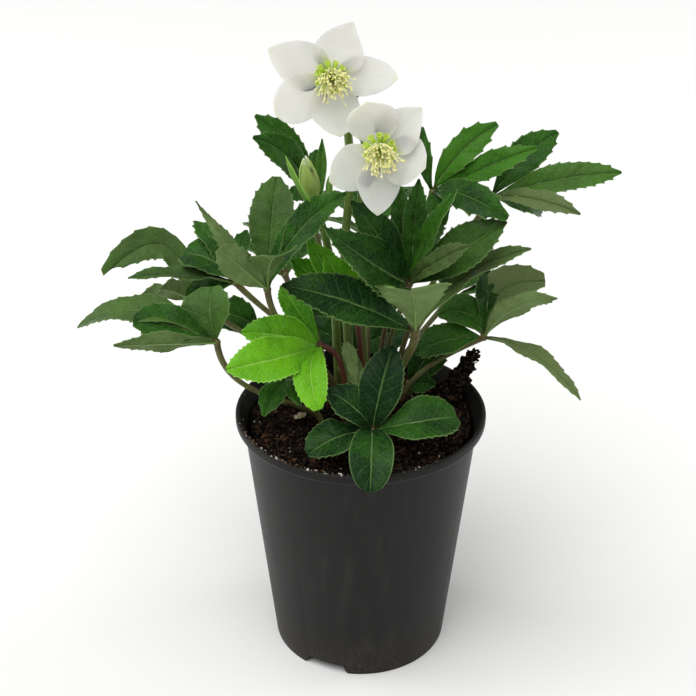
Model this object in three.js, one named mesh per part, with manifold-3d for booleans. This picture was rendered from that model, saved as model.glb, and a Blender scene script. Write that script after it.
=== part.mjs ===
// A hellebore in flower, growing in a round nursery pot.
// Millimetres, +Z up. The plant is modelled round the axis of its pot, and moved as a whole at the end,
// so that the origin is under the middle of the object's box.
import * as THREE from 'three';
import { mergeVertices } from 'three/addons/utils/BufferGeometryUtils.js';
import Module from 'manifold-3d';

const wasm = await Module();
wasm.setup();

// Driving dimensions.
const POT_HEIGHT = 150;
const LIP_RADIUS = 70;
const FOOT_RADIUS = 50;
const WALL = 1.6;
const WALL_TOP = 142;
const WALL_TOP_RADIUS = 65.4;
const FLOOR_Z = 6.5;
const FLOOR_THICKNESS = 2;
const NOTCH_COUNT = 3;
const FIRST_NOTCH = -114;
const SOIL_TOP = 142;
const SOIL_RADIUS = 61.5;
const CLEARANCE = 0.3;
const SOCKET_DEPTH = 8;
const LEAF_THICKNESS = 0.8;
const TEPAL_THICKNESS = 0.7;
const SCAPE_RADIUS = 2.2;

const DEG = Math.PI / 180;

// ---------------------------------------------------------------- solids

function toSolid(geometry) {
  geometry.deleteAttribute('normal');
  geometry.deleteAttribute('uv');
  const merged = mergeVertices(geometry, 1e-4);
  return new wasm.Manifold(new wasm.Mesh({
    numProp: 3,
    vertProperties: new Float32Array(merged.attributes.position.array),
    triVerts: new Uint32Array(merged.index.array),
  }));
}

function fuse(geometries) {
  return geometries.map(toSolid).reduce((whole, piece) => whole.add(piece));
}

// The largest body of a solid, without the loose scraps that a cut can leave.
function mainBody(solid) {
  return solid.decompose().reduce((best, body) => (body.volume() > best.volume() ? body : best));
}

function toGeometry(solid) {
  const mesh = mainBody(solid).getMesh();
  const geometry = new THREE.BufferGeometry();
  geometry.setAttribute('position', new THREE.BufferAttribute(mesh.vertProperties, 3));
  geometry.setIndex(new THREE.BufferAttribute(mesh.triVerts, 1));
  return geometry;
}

// A solid of revolution about +Z from its [radius, height] profile.
function turnedBody(profile, segments) {
  const points = profile.map(([radius, height]) => new THREE.Vector2(radius, height));
  return new THREE.LatheGeometry(points, segments).rotateX(Math.PI / 2);
}

function disc(radius, bottom, top, sides) {
  return new THREE.CylinderGeometry(radius, radius, top - bottom, sides)
    .rotateX(Math.PI / 2)
    .translate(0, 0, (bottom + top) / 2);
}

// A stem of a few flat sides along a curve.
function stem(curve, radius, steps, sides) {
  const corners = Array.from({ length: sides }, (_, i) => {
    const angle = (2 * Math.PI * i) / sides;
    return new THREE.Vector2(Math.cos(angle) * radius, Math.sin(angle) * radius);
  });
  return new THREE.ExtrudeGeometry(new THREE.Shape(corners), { steps, extrudePath: curve });
}

// ---------------------------------------------------------------- blades

function direction(to, rise) {
  const level = Math.cos(rise * DEG);
  return new THREE.Vector3(Math.cos(to * DEG) * level, Math.sin(to * DEG) * level, Math.sin(rise * DEG));
}

// Width of a blade along its length, 1 at its widest and 0 at both ends.
function outline(s, slim, blunt) {
  const widest = slim / (slim + blunt);
  return (s / widest) ** slim * ((1 - s) / (1 - widest)) ** blunt;
}

// A leaf blade or a tepal. It starts at hub and points to a compass heading (to) and a rise, both in
// degrees. Its length (long) and width (wide) are in millimetres. Its middle bows up from the straight
// line by arch and to the left by sweep. roll turns it about its length, fold lifts both halves from
// the midrib, and skew runs the left half on past the right. facing is the side that the whole leaf
// turns its upper faces to. A style's start leaves out the first part, next to the hub.
function blade(hub, facing, row, style) {
  const { to, rise, long, wide } = row;
  const { arch = 0, sweep = 0, roll = 0, skew = 0 } = row;
  const { slim = style.slim, blunt = style.blunt, fold = style.fold } = row;
  const { stations, columns, start = 0 } = style;
  const along = direction(to, rise);
  const up = facing.clone().addScaledVector(along, -facing.dot(along)).normalize();
  const left = up.clone().cross(along);
  const turned = (first, second, angle) => first.clone().multiplyScalar(Math.cos(angle * DEG))
    .addScaledVector(second, Math.sin(angle * DEG));
  const rolledUp = turned(up, left, roll);
  const rolledLeft = turned(left, up.clone().negate(), roll);
  const bow = rolledUp.clone().multiplyScalar(arch).addScaledVector(rolledLeft, sweep);

  const place = (share, v, face) => {
    const s = start + (1 - start) * share;
    const station = Math.round(share * stations);
    const toothed = style.teeth && station > 2 && station < stations && v !== 0;
    const peak = station % 2 === 1;
    const reach = toothed ? (peak ? 1.07 : 0.92) : 1;
    const lean = toothed && peak ? 0.03 * long : 0;
    const tangent = along.clone().multiplyScalar(long).addScaledVector(bow, 4 * (1 - 2 * s)).normalize();
    const normal = rolledUp.clone().addScaledVector(tangent, -rolledUp.dot(tangent)).normalize();
    const side = normal.clone().cross(tangent);
    const inner = THREE.MathUtils.clamp(s, 0.0001, 0.9999);
    const least = s > 0.5 ? 0.5 : style.base;
    const half = Math.max((wide / 2) * outline(inner, slim, blunt) * reach, least);
    const lift = Math.abs(v) * half * Math.sin(fold * DEG);
    return hub.clone()
      .addScaledVector(along, long * s)
      .addScaledVector(bow, 4 * s * (1 - s))
      .addScaledVector(side, v * half * Math.cos(fold * DEG))
      .addScaledVector(normal, lift + (face * style.thickness) / 2)
      .addScaledVector(tangent, lean + v * skew * long * s * s);
  };
  return thicken(new THREE.PlaneGeometry(1, 1, stations, columns), place);
}

// Gives a sheet its thickness, with the same triangles on both faces and a wall round the edge.
function thicken(sheet, place) {
  const flat = sheet.attributes.position;
  const positions = [];
  for (const face of [1, -1]) {
    for (let i = 0; i < flat.count; i += 1) {
      positions.push(...place(flat.getX(i) + 0.5, 2 * flat.getY(i), face));
    }
  }
  const top = sheet.index.array;
  const under = flat.count;
  const edges = new Set();
  const triangles = [];
  for (let i = 0; i < top.length; i += 3) {
    const [a, b, c] = top.slice(i, i + 3);
    triangles.push(a, b, c, a + under, c + under, b + under);
    edges.add(`${a} ${b}`).add(`${b} ${c}`).add(`${c} ${a}`);
  }
  for (const edge of edges) {
    const [a, b] = edge.split(' ').map(Number);
    if (edges.has(`${b} ${a}`)) continue;
    triangles.push(a + under, b + under, b, a + under, b, a);
  }
  const solid = new THREE.BufferGeometry();
  solid.setAttribute('position', new THREE.Float32BufferAttribute(positions, 3));
  solid.setIndex(triangles);
  return solid;
}

const LEAFLET = {
  stations: 5, columns: 2, teeth: true, thickness: LEAF_THICKNESS,
  base: 1, slim: 1.3, blunt: 0.95, fold: 12,
};
const NARROW_LEAFLET = { ...LEAFLET, stations: 4 };
const NARROW_WIDTH = 15;
const BRACT = { ...LEAFLET, stations: 3, teeth: false };
const TEPAL = {
  stations: 5, columns: 2, teeth: false, thickness: TEPAL_THICKNESS,
  base: 2, slim: 0.62, blunt: 0.62, fold: 8,
};

// ---------------------------------------------------------------- the pot

// A thin moulded pot: tapered wall, rolled lip, raised floor, and a foot ring with drainage notches.
function pot() {
  const inside = WALL + 0.1;
  const body = turnedBody([
    [0, FLOOR_Z],
    [FOOT_RADIUS - 4, FLOOR_Z],
    [FOOT_RADIUS - 2.2, 0],
    [FOOT_RADIUS, 0],
    [WALL_TOP_RADIUS, WALL_TOP],
    [LIP_RADIUS - 0.8, WALL_TOP + 2.2],
    [LIP_RADIUS, WALL_TOP + 3.6],
    [LIP_RADIUS, POT_HEIGHT - 0.8],
    [LIP_RADIUS - 0.8, POT_HEIGHT],
    [LIP_RADIUS - 2.2, POT_HEIGHT],
    [WALL_TOP_RADIUS - inside, WALL_TOP - 1],
    [FOOT_RADIUS - inside + 1, FLOOR_Z + FLOOR_THICKNESS],
    [0, FLOOR_Z + FLOOR_THICKNESS],
  ], 32);
  let solid = toSolid(body);
  for (let i = 0; i < NOTCH_COUNT; i += 1) {
    solid = solid.subtract(toSolid(notch((FIRST_NOTCH + (360 / NOTCH_COUNT) * i) * DEG)));
  }
  return toGeometry(solid);
}

// The arched cut under the foot ring, which also opens the edge of the floor to let water out.
function notch(angle) {
  const [half, height, slope] = [13.5, 5.6, 3];
  const arch = new THREE.Shape([
    new THREE.Vector2(-half, -1),
    new THREE.Vector2(half, -1),
    new THREE.Vector2(half - slope, height),
    new THREE.Vector2(slope - half, height),
  ]);
  return new THREE.ExtrudeGeometry(arch, { depth: 12, bevelEnabled: false })
    .rotateX(Math.PI / 2)
    .rotateZ(Math.PI / 2)
    .translate(FOOT_RADIUS - 7, 0, 0)
    .rotateZ(angle);
}

// ---------------------------------------------------------------- the soil

// Each lump of the heap against the back of the rim: its place and its radius.
const HEAP = [
  { at: [50, 21, 146], radius: 9 },
  { at: [56, 22, 155], radius: 7.5 },
  { at: [60, 24, 163], radius: 5.5 },
  { at: [64, 25, 169], radius: 4 },
];

// Height of the rough soil, which rises a little round the crown of the plant.
function soilHeight(x, y) {
  const crown = 4 * Math.exp(-((x - 4) ** 2 + (y - 12) ** 2) / 700);
  const crumbs = 1.1 * Math.sin(x * 0.31 + y * 0.12) + 0.9 * Math.sin(y * 0.37 - x * 0.17 + 1);
  return SOIL_TOP + crown + crumbs;
}

// The soil fills the pot and has a plain hole for each stem.
function soil(stems) {
  const bottom = FLOOR_Z + FLOOR_THICKNESS + CLEARANCE;
  const tight = FOOT_RADIUS - WALL - 1.4;
  const rings = [SOIL_RADIUS, 47, 30, 13, 0];
  const body = turnedBody([[0, bottom], [tight, bottom], ...rings.map((r) => [r, SOIL_TOP])], 24);
  const at = body.attributes.position;
  for (let i = 0; i < at.count; i += 1) {
    if (at.getZ(i) > bottom + 1) at.setZ(i, soilHeight(at.getX(i), at.getY(i)));
  }
  let solid = toSolid(body);
  for (const { at: place, radius } of HEAP) {
    solid = solid.add(toSolid(new THREE.SphereGeometry(radius, 6, 4).translate(...place)));
  }
  for (const { path, radius, steps, sides } of stems) {
    solid = solid.subtract(toSolid(stem(path(CLEARANCE), radius + CLEARANCE, steps, sides)));
  }
  return toGeometry(solid);
}

// A stalk's path from its socket in the soil up to its top. It starts upright for the share slack of its
// height. Over its last stretch it rises by the share neck of its height and goes out by the share lean
// of its way outwards. drop lowers its start, for the hole that it stands in.
function risingPath([x, y], [topX, topY, topZ], { slack = 0.5, lean = 0.3, neck = 0.25 }) {
  const start = soilHeight(x, y) - SOCKET_DEPTH;
  const height = topZ - start;
  return (drop) => new THREE.CubicBezierCurve3(
    new THREE.Vector3(x, y, start - drop),
    new THREE.Vector3(x, y, start + height * slack),
    new THREE.Vector3(topX + (x - topX) * lean, topY + (y - topY) * lean, topZ - height * neck),
    new THREE.Vector3(topX, topY, topZ),
  );
}

// ---------------------------------------------------------------- the leaves

const STALK_RADIUS = 1.7;
const STALK_STEPS = 4;
const STALK_SIDES = 5;

// Each leaf: its hub, where its leaflets meet, the foot of its stalk in the soil, the heading and rise
// of its upper side, the bend of its stalk if it isn't plain, and its leaflets as blade() takes them.
const LEAVES = {
  leaf_left_tall: {
    hub: [-50, -6, 227], foot: [-10, 8], facing: [270, 75], bend: { lean: 0.06, neck: 0.4 },
    leaflets: [
      { to: 208, rise: 57, long: 70, wide: 9, arch: -3, slim: 0.8, blunt: 1.1, roll: -85 },
      { to: 235, rise: 45, long: 54, wide: 17, arch: -2, blunt: 0.7, roll: -90 },
      { to: 285, rise: 46, long: 50, wide: 23, arch: 6, blunt: 0.4 },
      { to: 80, rise: 62, long: 60, wide: 24, arch: 4, blunt: 0.75 },
      { to: 55, rise: 60, long: 46, wide: 14, arch: 2, roll: 40 },
      { to: 3, rise: 52, long: 69, wide: 19, arch: 3, sweep: 6, roll: -17 },
    ],
  },
  leaf_left_rear: {
    hub: [-69, 24, 216], foot: [-16, 22], facing: [250, 55],
    leaflets: [
      { to: 195, rise: 10, long: 60, wide: 13, arch: 4, roll: -26 },
      { to: 165, rise: 26, long: 33, wide: 27, arch: 6, blunt: 0.55, roll: -22 },
      { to: 133, rise: 36, long: 44, wide: 18, arch: 4, roll: -38 },
      { to: 80, rise: 34, long: 34, wide: 11, arch: 4 },
      { to: 176, rise: -26, long: 34, wide: 18, arch: 4, roll: -8 },
    ],
  },
  leaf_left_low: {
    hub: [-78, -8, 196], foot: [-20, 0], facing: [240, 55], bend: { slack: 0.4, lean: 0.05, neck: 0.7 },
    leaflets: [
      { to: 100, rise: 62, long: 30, wide: 30, arch: 4, fold: 18, blunt: 0.7, roll: 10 },
      { to: 190, rise: 21, long: 47, wide: 26, arch: 4, blunt: 0.65, roll: -12 },
      { to: 207, rise: 12, long: 59, wide: 15, arch: -4, sweep: 5, roll: -90 },
      { to: 171, rise: 2, long: 78, wide: 24, arch: 16, roll: -25 },
    ],
  },
  leaf_left_drooping: {
    hub: [-96, 42, 196], foot: [-24, 14], facing: [240, 60], bend: { lean: 0.4 },
    leaflets: [
      {
        to: 190, rise: 27, long: 50, wide: 19, arch: 4, sweep: -24, roll: 10,
        skew: -0.1, slim: 0.6, blunt: 0.45,
      },
      { to: 195, rise: 11, long: 31, wide: 15, arch: 3, roll: -85 },
      { to: 240, rise: 35, long: 34, wide: 14, arch: 3, roll: -62 },
    ],
  },
  leaf_young_front: {
    hub: [-22, -8, 194], foot: [-8, -2], facing: [250, 55], bend: { lean: 1, neck: 0.1 },
    leaflets: [
      { to: 188, rise: 15, long: 44, wide: 23, arch: 4, slim: 1, blunt: 0.9, roll: 5 },
      { to: 213, rise: 3, long: 58, wide: 25, arch: 6, slim: 1.1, blunt: 0.75, sweep: 3, roll: 17 },
      { to: 269, rise: -23, long: 43, wide: 18, arch: 8, slim: 0.9, blunt: 0.55, sweep: -3 },
      { to: 127, rise: 30, long: 43, wide: 14, arch: 4 },
    ],
  },
  leaf_young_rear: {
    hub: [-2, 2, 205], foot: [2, 8], facing: [270, 60],
    leaflets: [
      { to: 174, rise: 43, long: 49, wide: 22, arch: 3 },
      { to: 180, rise: 65, long: 42, wide: 20, arch: 3 },
      { to: 168, rise: 58, long: 52, wide: 16, arch: 3 },
    ],
  },
  leaf_middle: {
    hub: [26, 8, 223], foot: [12, 22], facing: [270, 50],
    leaflets: [
      { to: 207, rise: 41, long: 70, wide: 31, arch: 5, sweep: 5, slim: 0.75, blunt: 1.3 },
      { to: 195, rise: 58, long: 62, wide: 20, arch: 4 },
      { to: 105, rise: 62, long: 57, wide: 12, arch: 3 },
      { to: 76, rise: 69, long: 57, wide: 13, arch: 3 },
      { to: 355, rise: 67, long: 61, wide: 14, arch: 2, roll: 45 },
      { to: 54, rise: 38, long: 41, wide: 19, arch: 3, roll: 34 },
      { to: 323, rise: 42, long: 50, wide: 13, arch: 4 },
      { to: 355, rise: 38, long: 64, wide: 24, arch: 5, sweep: -2 },
    ],
  },
  leaf_front: {
    hub: [29, -14, 205], foot: [15, 4], facing: [90, 82], stalk: 2.3, bend: { lean: 0.08 },
    leaflets: [
      { to: 262, rise: 52, long: 53, wide: 38, arch: 6, slim: 1.2, blunt: 0.35, skew: 0.3 },
      { to: 16, rise: 33, long: 76, wide: 17, arch: 4, sweep: 9, roll: -13 },
      { to: 183, rise: 23, long: 77, wide: 29, arch: 6, roll: 38 },
    ],
  },
  leaf_right_low: {
    hub: [69, 20, 184], foot: [22, 14], facing: [300, 62], bend: { lean: 0.55 },
    leaflets: [
      { to: 318, rise: -12.5, long: 68, wide: 14, arch: 8, slim: 1, roll: 15 },
      { to: 176, rise: -17, long: 40, wide: 25, arch: 4, roll: -8 },
      { to: 148, rise: 11, long: 30, wide: 24, arch: 5, sweep: -6, roll: 5 },
      { to: 329, rise: 40, long: 55, wide: 16, arch: 4, sweep: -5, roll: 84 },
      { to: 34, rise: 28, long: 49, wide: 28, arch: 6, slim: 1.1, blunt: 0.6, sweep: 11, roll: 26 },
      { to: 84, rise: 34, long: 44, wide: 15, arch: 4 },
    ],
  },
  leaf_upper_right: {
    hub: [39, 38, 264], foot: [10, 32], facing: [270, 45],
    leaflets: [
      { to: 114, rise: 65, long: 36, wide: 9, arch: 2, sweep: 2 },
      { to: 10, rise: 47, long: 51, wide: 16, arch: 4, sweep: 3 },
      { to: 352, rise: 28, long: 62, wide: 14, arch: 3 },
      { to: 315, rise: 1, long: 53, wide: 18, arch: 10 },
      { to: 284, rise: -38, long: 21, wide: 13, arch: 5 },
    ],
  },
  leaf_right_tall: {
    hub: [71, 40, 260], foot: [20, 32], facing: [275, 48],
    leaflets: [
      { to: 34, rise: 32, long: 54, wide: 19, arch: 4, sweep: 2 },
      { to: 0, rise: 12, long: 72, wide: 17, arch: 7 },
      { to: 321, rise: 6, long: 57, wide: 12, arch: 7 },
      { to: 39, rise: -25, long: 46, wide: 16, arch: 4 },
    ],
  },
  leaf_rosette: {
    hub: [6, -34, 156], foot: [6, -22], facing: [270, 70], bend: { slack: 0.6 },
    leaflets: [
      { to: 0, rise: 11, long: 46, wide: 30, arch: 5, slim: 1.2, blunt: 0.5, sweep: -3 },
      { to: 61, rise: 61, long: 47, wide: 24, arch: 5, slim: 1, blunt: 0.8 },
      { to: 171, rise: 42, long: 34, wide: 23, arch: 5 },
      { to: 210, rise: -3, long: 40, wide: 23, arch: 5, blunt: 0.7 },
      { to: 268, rise: -11, long: 47, wide: 24, arch: 11, slim: 0.9, blunt: 0.48 },
    ],
  },
  leaf_small_front: {
    hub: [-38, -6, 173], foot: [-20, -10], facing: [250, 60],
    leaflets: [
      { to: 245, rise: -11, long: 34, wide: 15, arch: 5 },
      { to: 280, rise: 0, long: 30, wide: 11, arch: 4 },
    ],
  },
  leaf_upper_left: {
    hub: [-29, 52, 255], foot: [-12, 42], facing: [270, 50],
    leaflets: [
      { to: 157, rise: 54, long: 54, wide: 18, arch: 4, sweep: -4 },
      { to: 202, rise: 52, long: 51, wide: 18, arch: 5, sweep: -5 },
      { to: 80, rise: 35, long: 32, wide: 10, arch: 3 },
      { to: 240, rise: 16, long: 26, wide: 10, arch: 4 },
    ],
  },
  leaf_small_left: {
    hub: [-57, 50, 173], foot: [-20, 32], facing: [270, 50],
    leaflets: [
      { to: 176, rise: 24, long: 27, wide: 22, arch: 4, blunt: 0.6 },
      { to: 252, rise: 8, long: 18, wide: 14, arch: 4 },
    ],
  },
  leaf_small_right: {
    hub: [28, 25, 151], foot: [29, 27], facing: [270, 40],
    leaflets: [
      { to: 28, rise: 52, long: 28, wide: 22, arch: 3, blunt: 0.6 },
      { to: 322, rise: 18, long: 19, wide: 12, arch: 3 },
    ],
  },
  leaf_small_middle: {
    hub: [-2, -8, 167], foot: [1, -10], facing: [90, 10],
    leaflets: [
      { to: 128, rise: 50, long: 18, wide: 14, arch: 3, blunt: 0.6 },
      { to: 165, rise: 77, long: 29, wide: 8, arch: 2, blunt: 0.7 },
    ],
  },
  leaf_back_left: {
    hub: [-44, 74, 196], foot: [-20, 44], facing: [90, 70], bend: { slack: 0.7 },
    leaflets: [
      { to: 40, rise: 22, long: 46, wide: 17, arch: 4 },
      { to: 80, rise: 12, long: 58, wide: 20, arch: 7 },
      { to: 115, rise: 8, long: 62, wide: 21, arch: 9 },
      { to: 150, rise: 4, long: 56, wide: 19, arch: 8 },
      { to: 190, rise: 8, long: 40, wide: 16, arch: 4 },
    ],
  },
  leaf_back_middle: {
    hub: [6, 84, 214], foot: [4, 42], facing: [90, 70],
    leaflets: [
      { to: 20, rise: 8, long: 50, wide: 18, arch: 6 },
      { to: 55, rise: 14, long: 58, wide: 20, arch: 8 },
      { to: 90, rise: 10, long: 64, wide: 22, arch: 10 },
      { to: 125, rise: 12, long: 56, wide: 19, arch: 8 },
      { to: 165, rise: 12, long: 42, wide: 16, arch: 5 },
    ],
  },
  leaf_back_right: {
    hub: [52, 70, 182], foot: [18, 42], facing: [60, 68],
    leaflets: [
      { to: 5, rise: -8, long: 46, wide: 19, arch: 7 },
      { to: 38, rise: -6, long: 58, wide: 21, arch: 9 },
      { to: 70, rise: 0, long: 58, wide: 20, arch: 8 },
      { to: 105, rise: 10, long: 44, wide: 17, arch: 5 },
    ],
  },
  leaf_back_low: {
    hub: [-4, 58, 153], foot: [-4, 50], facing: [270, 52],
    leaflets: [
      { to: 2, rise: 26, long: 40, wide: 24, arch: 6 },
      { to: 50, rise: 36, long: 44, wide: 22, arch: 6 },
      { to: 96, rise: 58, long: 40, wide: 22, arch: 4 },
      { to: 135, rise: 28, long: 46, wide: 20, arch: 6 },
      { to: 162, rise: 24, long: 37, wide: 17, arch: 6 },
    ],
  },
};

// A compound leaf: a stalk, and leaflets that spread from its top like fingers.
function leaf({ hub, facing, leaflets }, { path, radius, steps, sides }) {
  const top = new THREE.Vector3(...hub);
  const upper = direction(...facing);
  const blades = leaflets.map((row) => {
    const style = row.wide < NARROW_WIDTH ? NARROW_LEAFLET : LEAFLET;
    const { long, arch = 0, sweep = 0 } = row;
    return blade(top, upper, row, { ...style, start: 2 / Math.hypot(long, 4 * arch, 4 * sweep) });
  });
  return toGeometry(fuse([
    stem(path(0), radius, steps, sides),
    new THREE.OctahedronGeometry(radius + 1.6).translate(...hub),
    ...blades,
  ]));
}

// ---------------------------------------------------------------- the blooms

// Each bloom: its centre, the heading and rise it faces, and its five tepals, whose headings run
// counter-clockwise from the right as the bloom is looked at.
const BLOOMS = {
  bloom_high: {
    centre: [-16, 20, 335], facing: [275, 24],
    tepals: [
      { to: 66, rise: 14, long: 28, wide: 27, sweep: 1, slim: 0.5, blunt: 0.95 },
      { to: 155, rise: 10, long: 33, wide: 25, slim: 0.4, blunt: 0.75 },
      { to: 212, rise: 12, long: 33, wide: 24, slim: 0.6, blunt: 0.55 },
      { to: 276, rise: 16, long: 29, wide: 27, slim: 0.5, blunt: 0.65 },
      { to: 357, rise: 12, long: 32, wide: 21, sweep: 1.5, slim: 0.5, blunt: 0.65 },
    ],
  },
  bloom_low: {
    centre: [9, -8, 307], facing: [266, 20],
    tepals: [
      { to: 106, rise: 18, long: 23, wide: 27, slim: 0.6, blunt: 0.5 },
      { to: 46, rise: 14, long: 28, wide: 24, slim: 0.4, blunt: 0.9 },
      { to: 340, rise: 14, long: 23, wide: 27 },
      { to: 270, rise: 10, long: 31, wide: 23, slim: 0.5, blunt: 0.75 },
      { to: 214, rise: 14, long: 28, wide: 24, sweep: 1, slim: 0.5, blunt: 0.65 },
    ],
  },
};
const TEPAL_START = 2.5;
const TEPAL_ROLL = 9;
const COLLAR = { radius: 4, bottom: -1, top: 2.3 };
const NECTARY_DISC = { radius: 4.6, bottom: COLLAR.top + CLEARANCE, top: 3.6 };
const NECTARY_COUNT = 9;
const STAMEN_RING = { inner: 1.7, outer: 3.3, bottom: NECTARY_DISC.top + CLEARANCE, top: 4.7 };
const STAMEN_COUNT = 12;
const STYLE_COUNT = 3;

function bloomPlace({ centre, facing }) {
  const axis = direction(...facing);
  const right = new THREE.Vector3(0, 0, 1).cross(axis).normalize();
  const up = axis.clone().cross(right);
  return new THREE.Matrix4().makeBasis(right, up, axis).setPosition(...centre);
}

// Leans an upright piece by tilt from the bloom's axis, and sets its foot out by start towards turn.
function leaned(piece, turn, tilt, start, base) {
  return piece.rotateY(tilt * DEG).translate(start, 0, base).rotateZ(turn * DEG);
}

function tepals(bloom) {
  const upper = new THREE.Vector3(0, 0, 1);
  const petals = bloom.tepals.map((row) => blade(
    direction(row.to, 0).multiplyScalar(TEPAL_START),
    upper,
    { arch: -3, roll: TEPAL_ROLL, ...row },
    TEPAL,
  ));
  return fuse([disc(COLLAR.radius, COLLAR.bottom, COLLAR.top, 10), ...petals]);
}

// The ring of small green nectar cups, on the disc that also carries the styles.
function nectaries() {
  const { radius, bottom, top } = NECTARY_DISC;
  const pieces = [disc(radius, bottom, top, 9)];
  for (let i = 0; i < NECTARY_COUNT; i += 1) {
    const cup = turnedBody([[0, 0], [0.9, 0], [1.5, 4.2], [0, 4.2]], 4);
    pieces.push(leaned(cup, (360 / NECTARY_COUNT) * i, 55, radius - 1, top - 0.6));
  }
  for (let i = 0; i < STYLE_COUNT; i += 1) {
    const style = turnedBody([[0, 0], [0.7, 0], [0.35, 10], [0, 10]], 3);
    pieces.push(leaned(style, (360 / STYLE_COUNT) * i, 6, 0.9, top - 0.4));
  }
  return fuse(pieces);
}

// The stamens: thin stalks with fat tips, spread by the golden angle on a ring round the styles.
function stamens() {
  const { inner, outer, bottom, top } = STAMEN_RING;
  const ring = [[inner, bottom], [outer, bottom], [outer, top], [inner, top], [inner, bottom]];
  const pieces = [turnedBody(ring, 8)];
  for (let i = 0; i < STAMEN_COUNT; i += 1) {
    const length = 8 + 2.4 * Math.sin(i * 2.1);
    const profile = [[0, 0], [0.5, 0], [0.4, length - 1.4], [1, length], [0, length + 1.3]];
    pieces.push(leaned(turnedBody(profile, 3), i * 137.5, 18 + (26 * i) / STAMEN_COUNT, 2.5, top - 0.4));
  }
  return fuse(pieces);
}

// ---------------------------------------------------------------- flower stems and the bud

// Each flower stem: its foot in the soil, the points that it passes through, and its small bracts.
const SCAPES = {
  scape_high: {
    foot: [-4, 17], through: [[-6, 16, 165], [-9, 14, 235], [-6, 15, 290], [-10, 29, 319]],
    bracts: [{ at: [-12, 27, 313], to: 5, rise: 48, long: 24, wide: 10 }],
  },
  scape_low: {
    foot: [3, 20], through: [[2, 19, 165], [0, 15, 235], [1, 15, 292], [5, 9, 317]],
    bracts: [{ at: [2, 13, 300], to: 140, rise: 40, long: 9, wide: 5 }],
  },
};
const RECEPTACLE_LENGTH = 4;
const SCAPE_STEPS = 9;
const SCAPE_SIDES = 6;

// A smooth path that leaves the soil upright and ends at the last point.
function throughPath([x, y], points) {
  const rest = points.map((point) => new THREE.Vector3(...point));
  const start = soilHeight(x, y) - SOCKET_DEPTH;
  return (drop) => new THREE.CatmullRomCurve3([new THREE.Vector3(x, y, start - drop), ...rest]);
}

// The cone at the end of a flower stem that carries the bloom or the bud. Its wide end is at seat.
function receptacle(radius, seat, place) {
  return new THREE.CylinderGeometry(radius, SCAPE_RADIUS - 0.2, RECEPTACLE_LENGTH, 8)
    .rotateX(Math.PI / 2)
    .translate(0, 0, seat - RECEPTACLE_LENGTH / 2)
    .applyMatrix4(place);
}

// The end of a flower stem, inside the cone that starts at seat.
function scapeEnd(seat, place) {
  return new THREE.Vector3(0, 0, seat - RECEPTACLE_LENGTH * 0.75).applyMatrix4(place).toArray();
}

// A flower stem with its bracts.
function scape({ bracts }, bloom, { path, radius, steps, sides }) {
  return toGeometry(fuse([
    stem(path(0), radius, steps, sides),
    receptacle(3.4, COLLAR.bottom - CLEARANCE, bloomPlace(bloom)),
    ...bracts.map((row) => blade(new THREE.Vector3(...row.at), direction(90, 60), row, BRACT)),
  ]));
}

const BUD = { base: [-25, 14, 269], tip: [-30, 8, 298] };
const BUD_SCAPE = {
  foot: [-12, 26], through: [[-13, 25, 165], [-16, 21, 225], [-20, 17, 250]],
};
const BUD_BRACTS = [
  { at: [-22, 12, 262], to: 217, rise: 61, long: 44, wide: 8, arch: -4, sweep: 3 },
  { at: [-21, 16, 263], to: 20, rise: 76, long: 21, wide: 9, arch: -2 },
  { at: [-23, 18, 263], to: 70, rise: 80, long: 38, wide: 6, arch: -2 },
];

function budPlace() {
  const base = new THREE.Vector3(...BUD.base);
  const axis = new THREE.Vector3(...BUD.tip).sub(base).normalize();
  const turn = new THREE.Quaternion().setFromUnitVectors(new THREE.Vector3(0, 0, 1), axis);
  return new THREE.Matrix4().makeRotationFromQuaternion(turn).setPosition(...BUD.base);
}

// The closed bud: its three outer tepals, wrapped round each other on a short core.
function budTepals() {
  const length = new THREE.Vector3(...BUD.tip).distanceTo(new THREE.Vector3(...BUD.base));
  const core = turnedBody([[0, 0], [2.6, 0], [2.2, 3], [0, 6]], 8);
  const wrapped = [30, 150, 270].map((to) => blade(
    direction(to, 0).multiplyScalar(2.2),
    direction(to, 0).negate(),
    { to: to + 180, rise: 87, long: length - 1 - to / 100, wide: 10, arch: -3.2, roll: 14, fold: 26 },
    { ...TEPAL, base: 1.8, stations: 4 },
  ));
  return fuse([core, ...wrapped]).transform(budPlace().elements);
}

function budScape({ path, radius, steps, sides }) {
  return toGeometry(fuse([
    stem(path(0), radius, steps, sides),
    receptacle(2.6, -CLEARANCE, budPlace()),
    ...BUD_BRACTS.map((row) => blade(new THREE.Vector3(...row.at), direction(row.to + 180, 20), row, BRACT)),
  ]));
}

// ---------------------------------------------------------------- the whole plant

const PLASTIC = { color: 0x303030, roughness: 0.45 };
const PEAT = { color: 0x2a1a10, roughness: 1 };
const LEAF_GREEN = { color: 0x2f5a24, roughness: 0.4 };
const YOUNG_GREEN = { color: 0x64aa14, roughness: 0.5 };
const STEM_GREEN = { color: 0x7da03c, roughness: 0.5 };
const TEPAL_WHITE = { color: 0xf0eee6, roughness: 0.6 };
const NECTARY_GREEN = { color: 0xa8cc3c, roughness: 0.5 };
const STAMEN_CREAM = { color: 0xf2eaa8, roughness: 0.7 };

const plant = new THREE.Group();
const stems = [];

function add(name, geometry, { color, roughness }) {
  const material = new THREE.MeshStandardMaterial({ color, roughness, metalness: 0 });
  const mesh = new THREE.Mesh(geometry, material);
  mesh.name = name;
  plant.add(mesh);
}

function addStem(path, radius, steps, sides) {
  const row = { path, radius, steps, sides };
  stems.push(row);
  return row;
}

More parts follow.
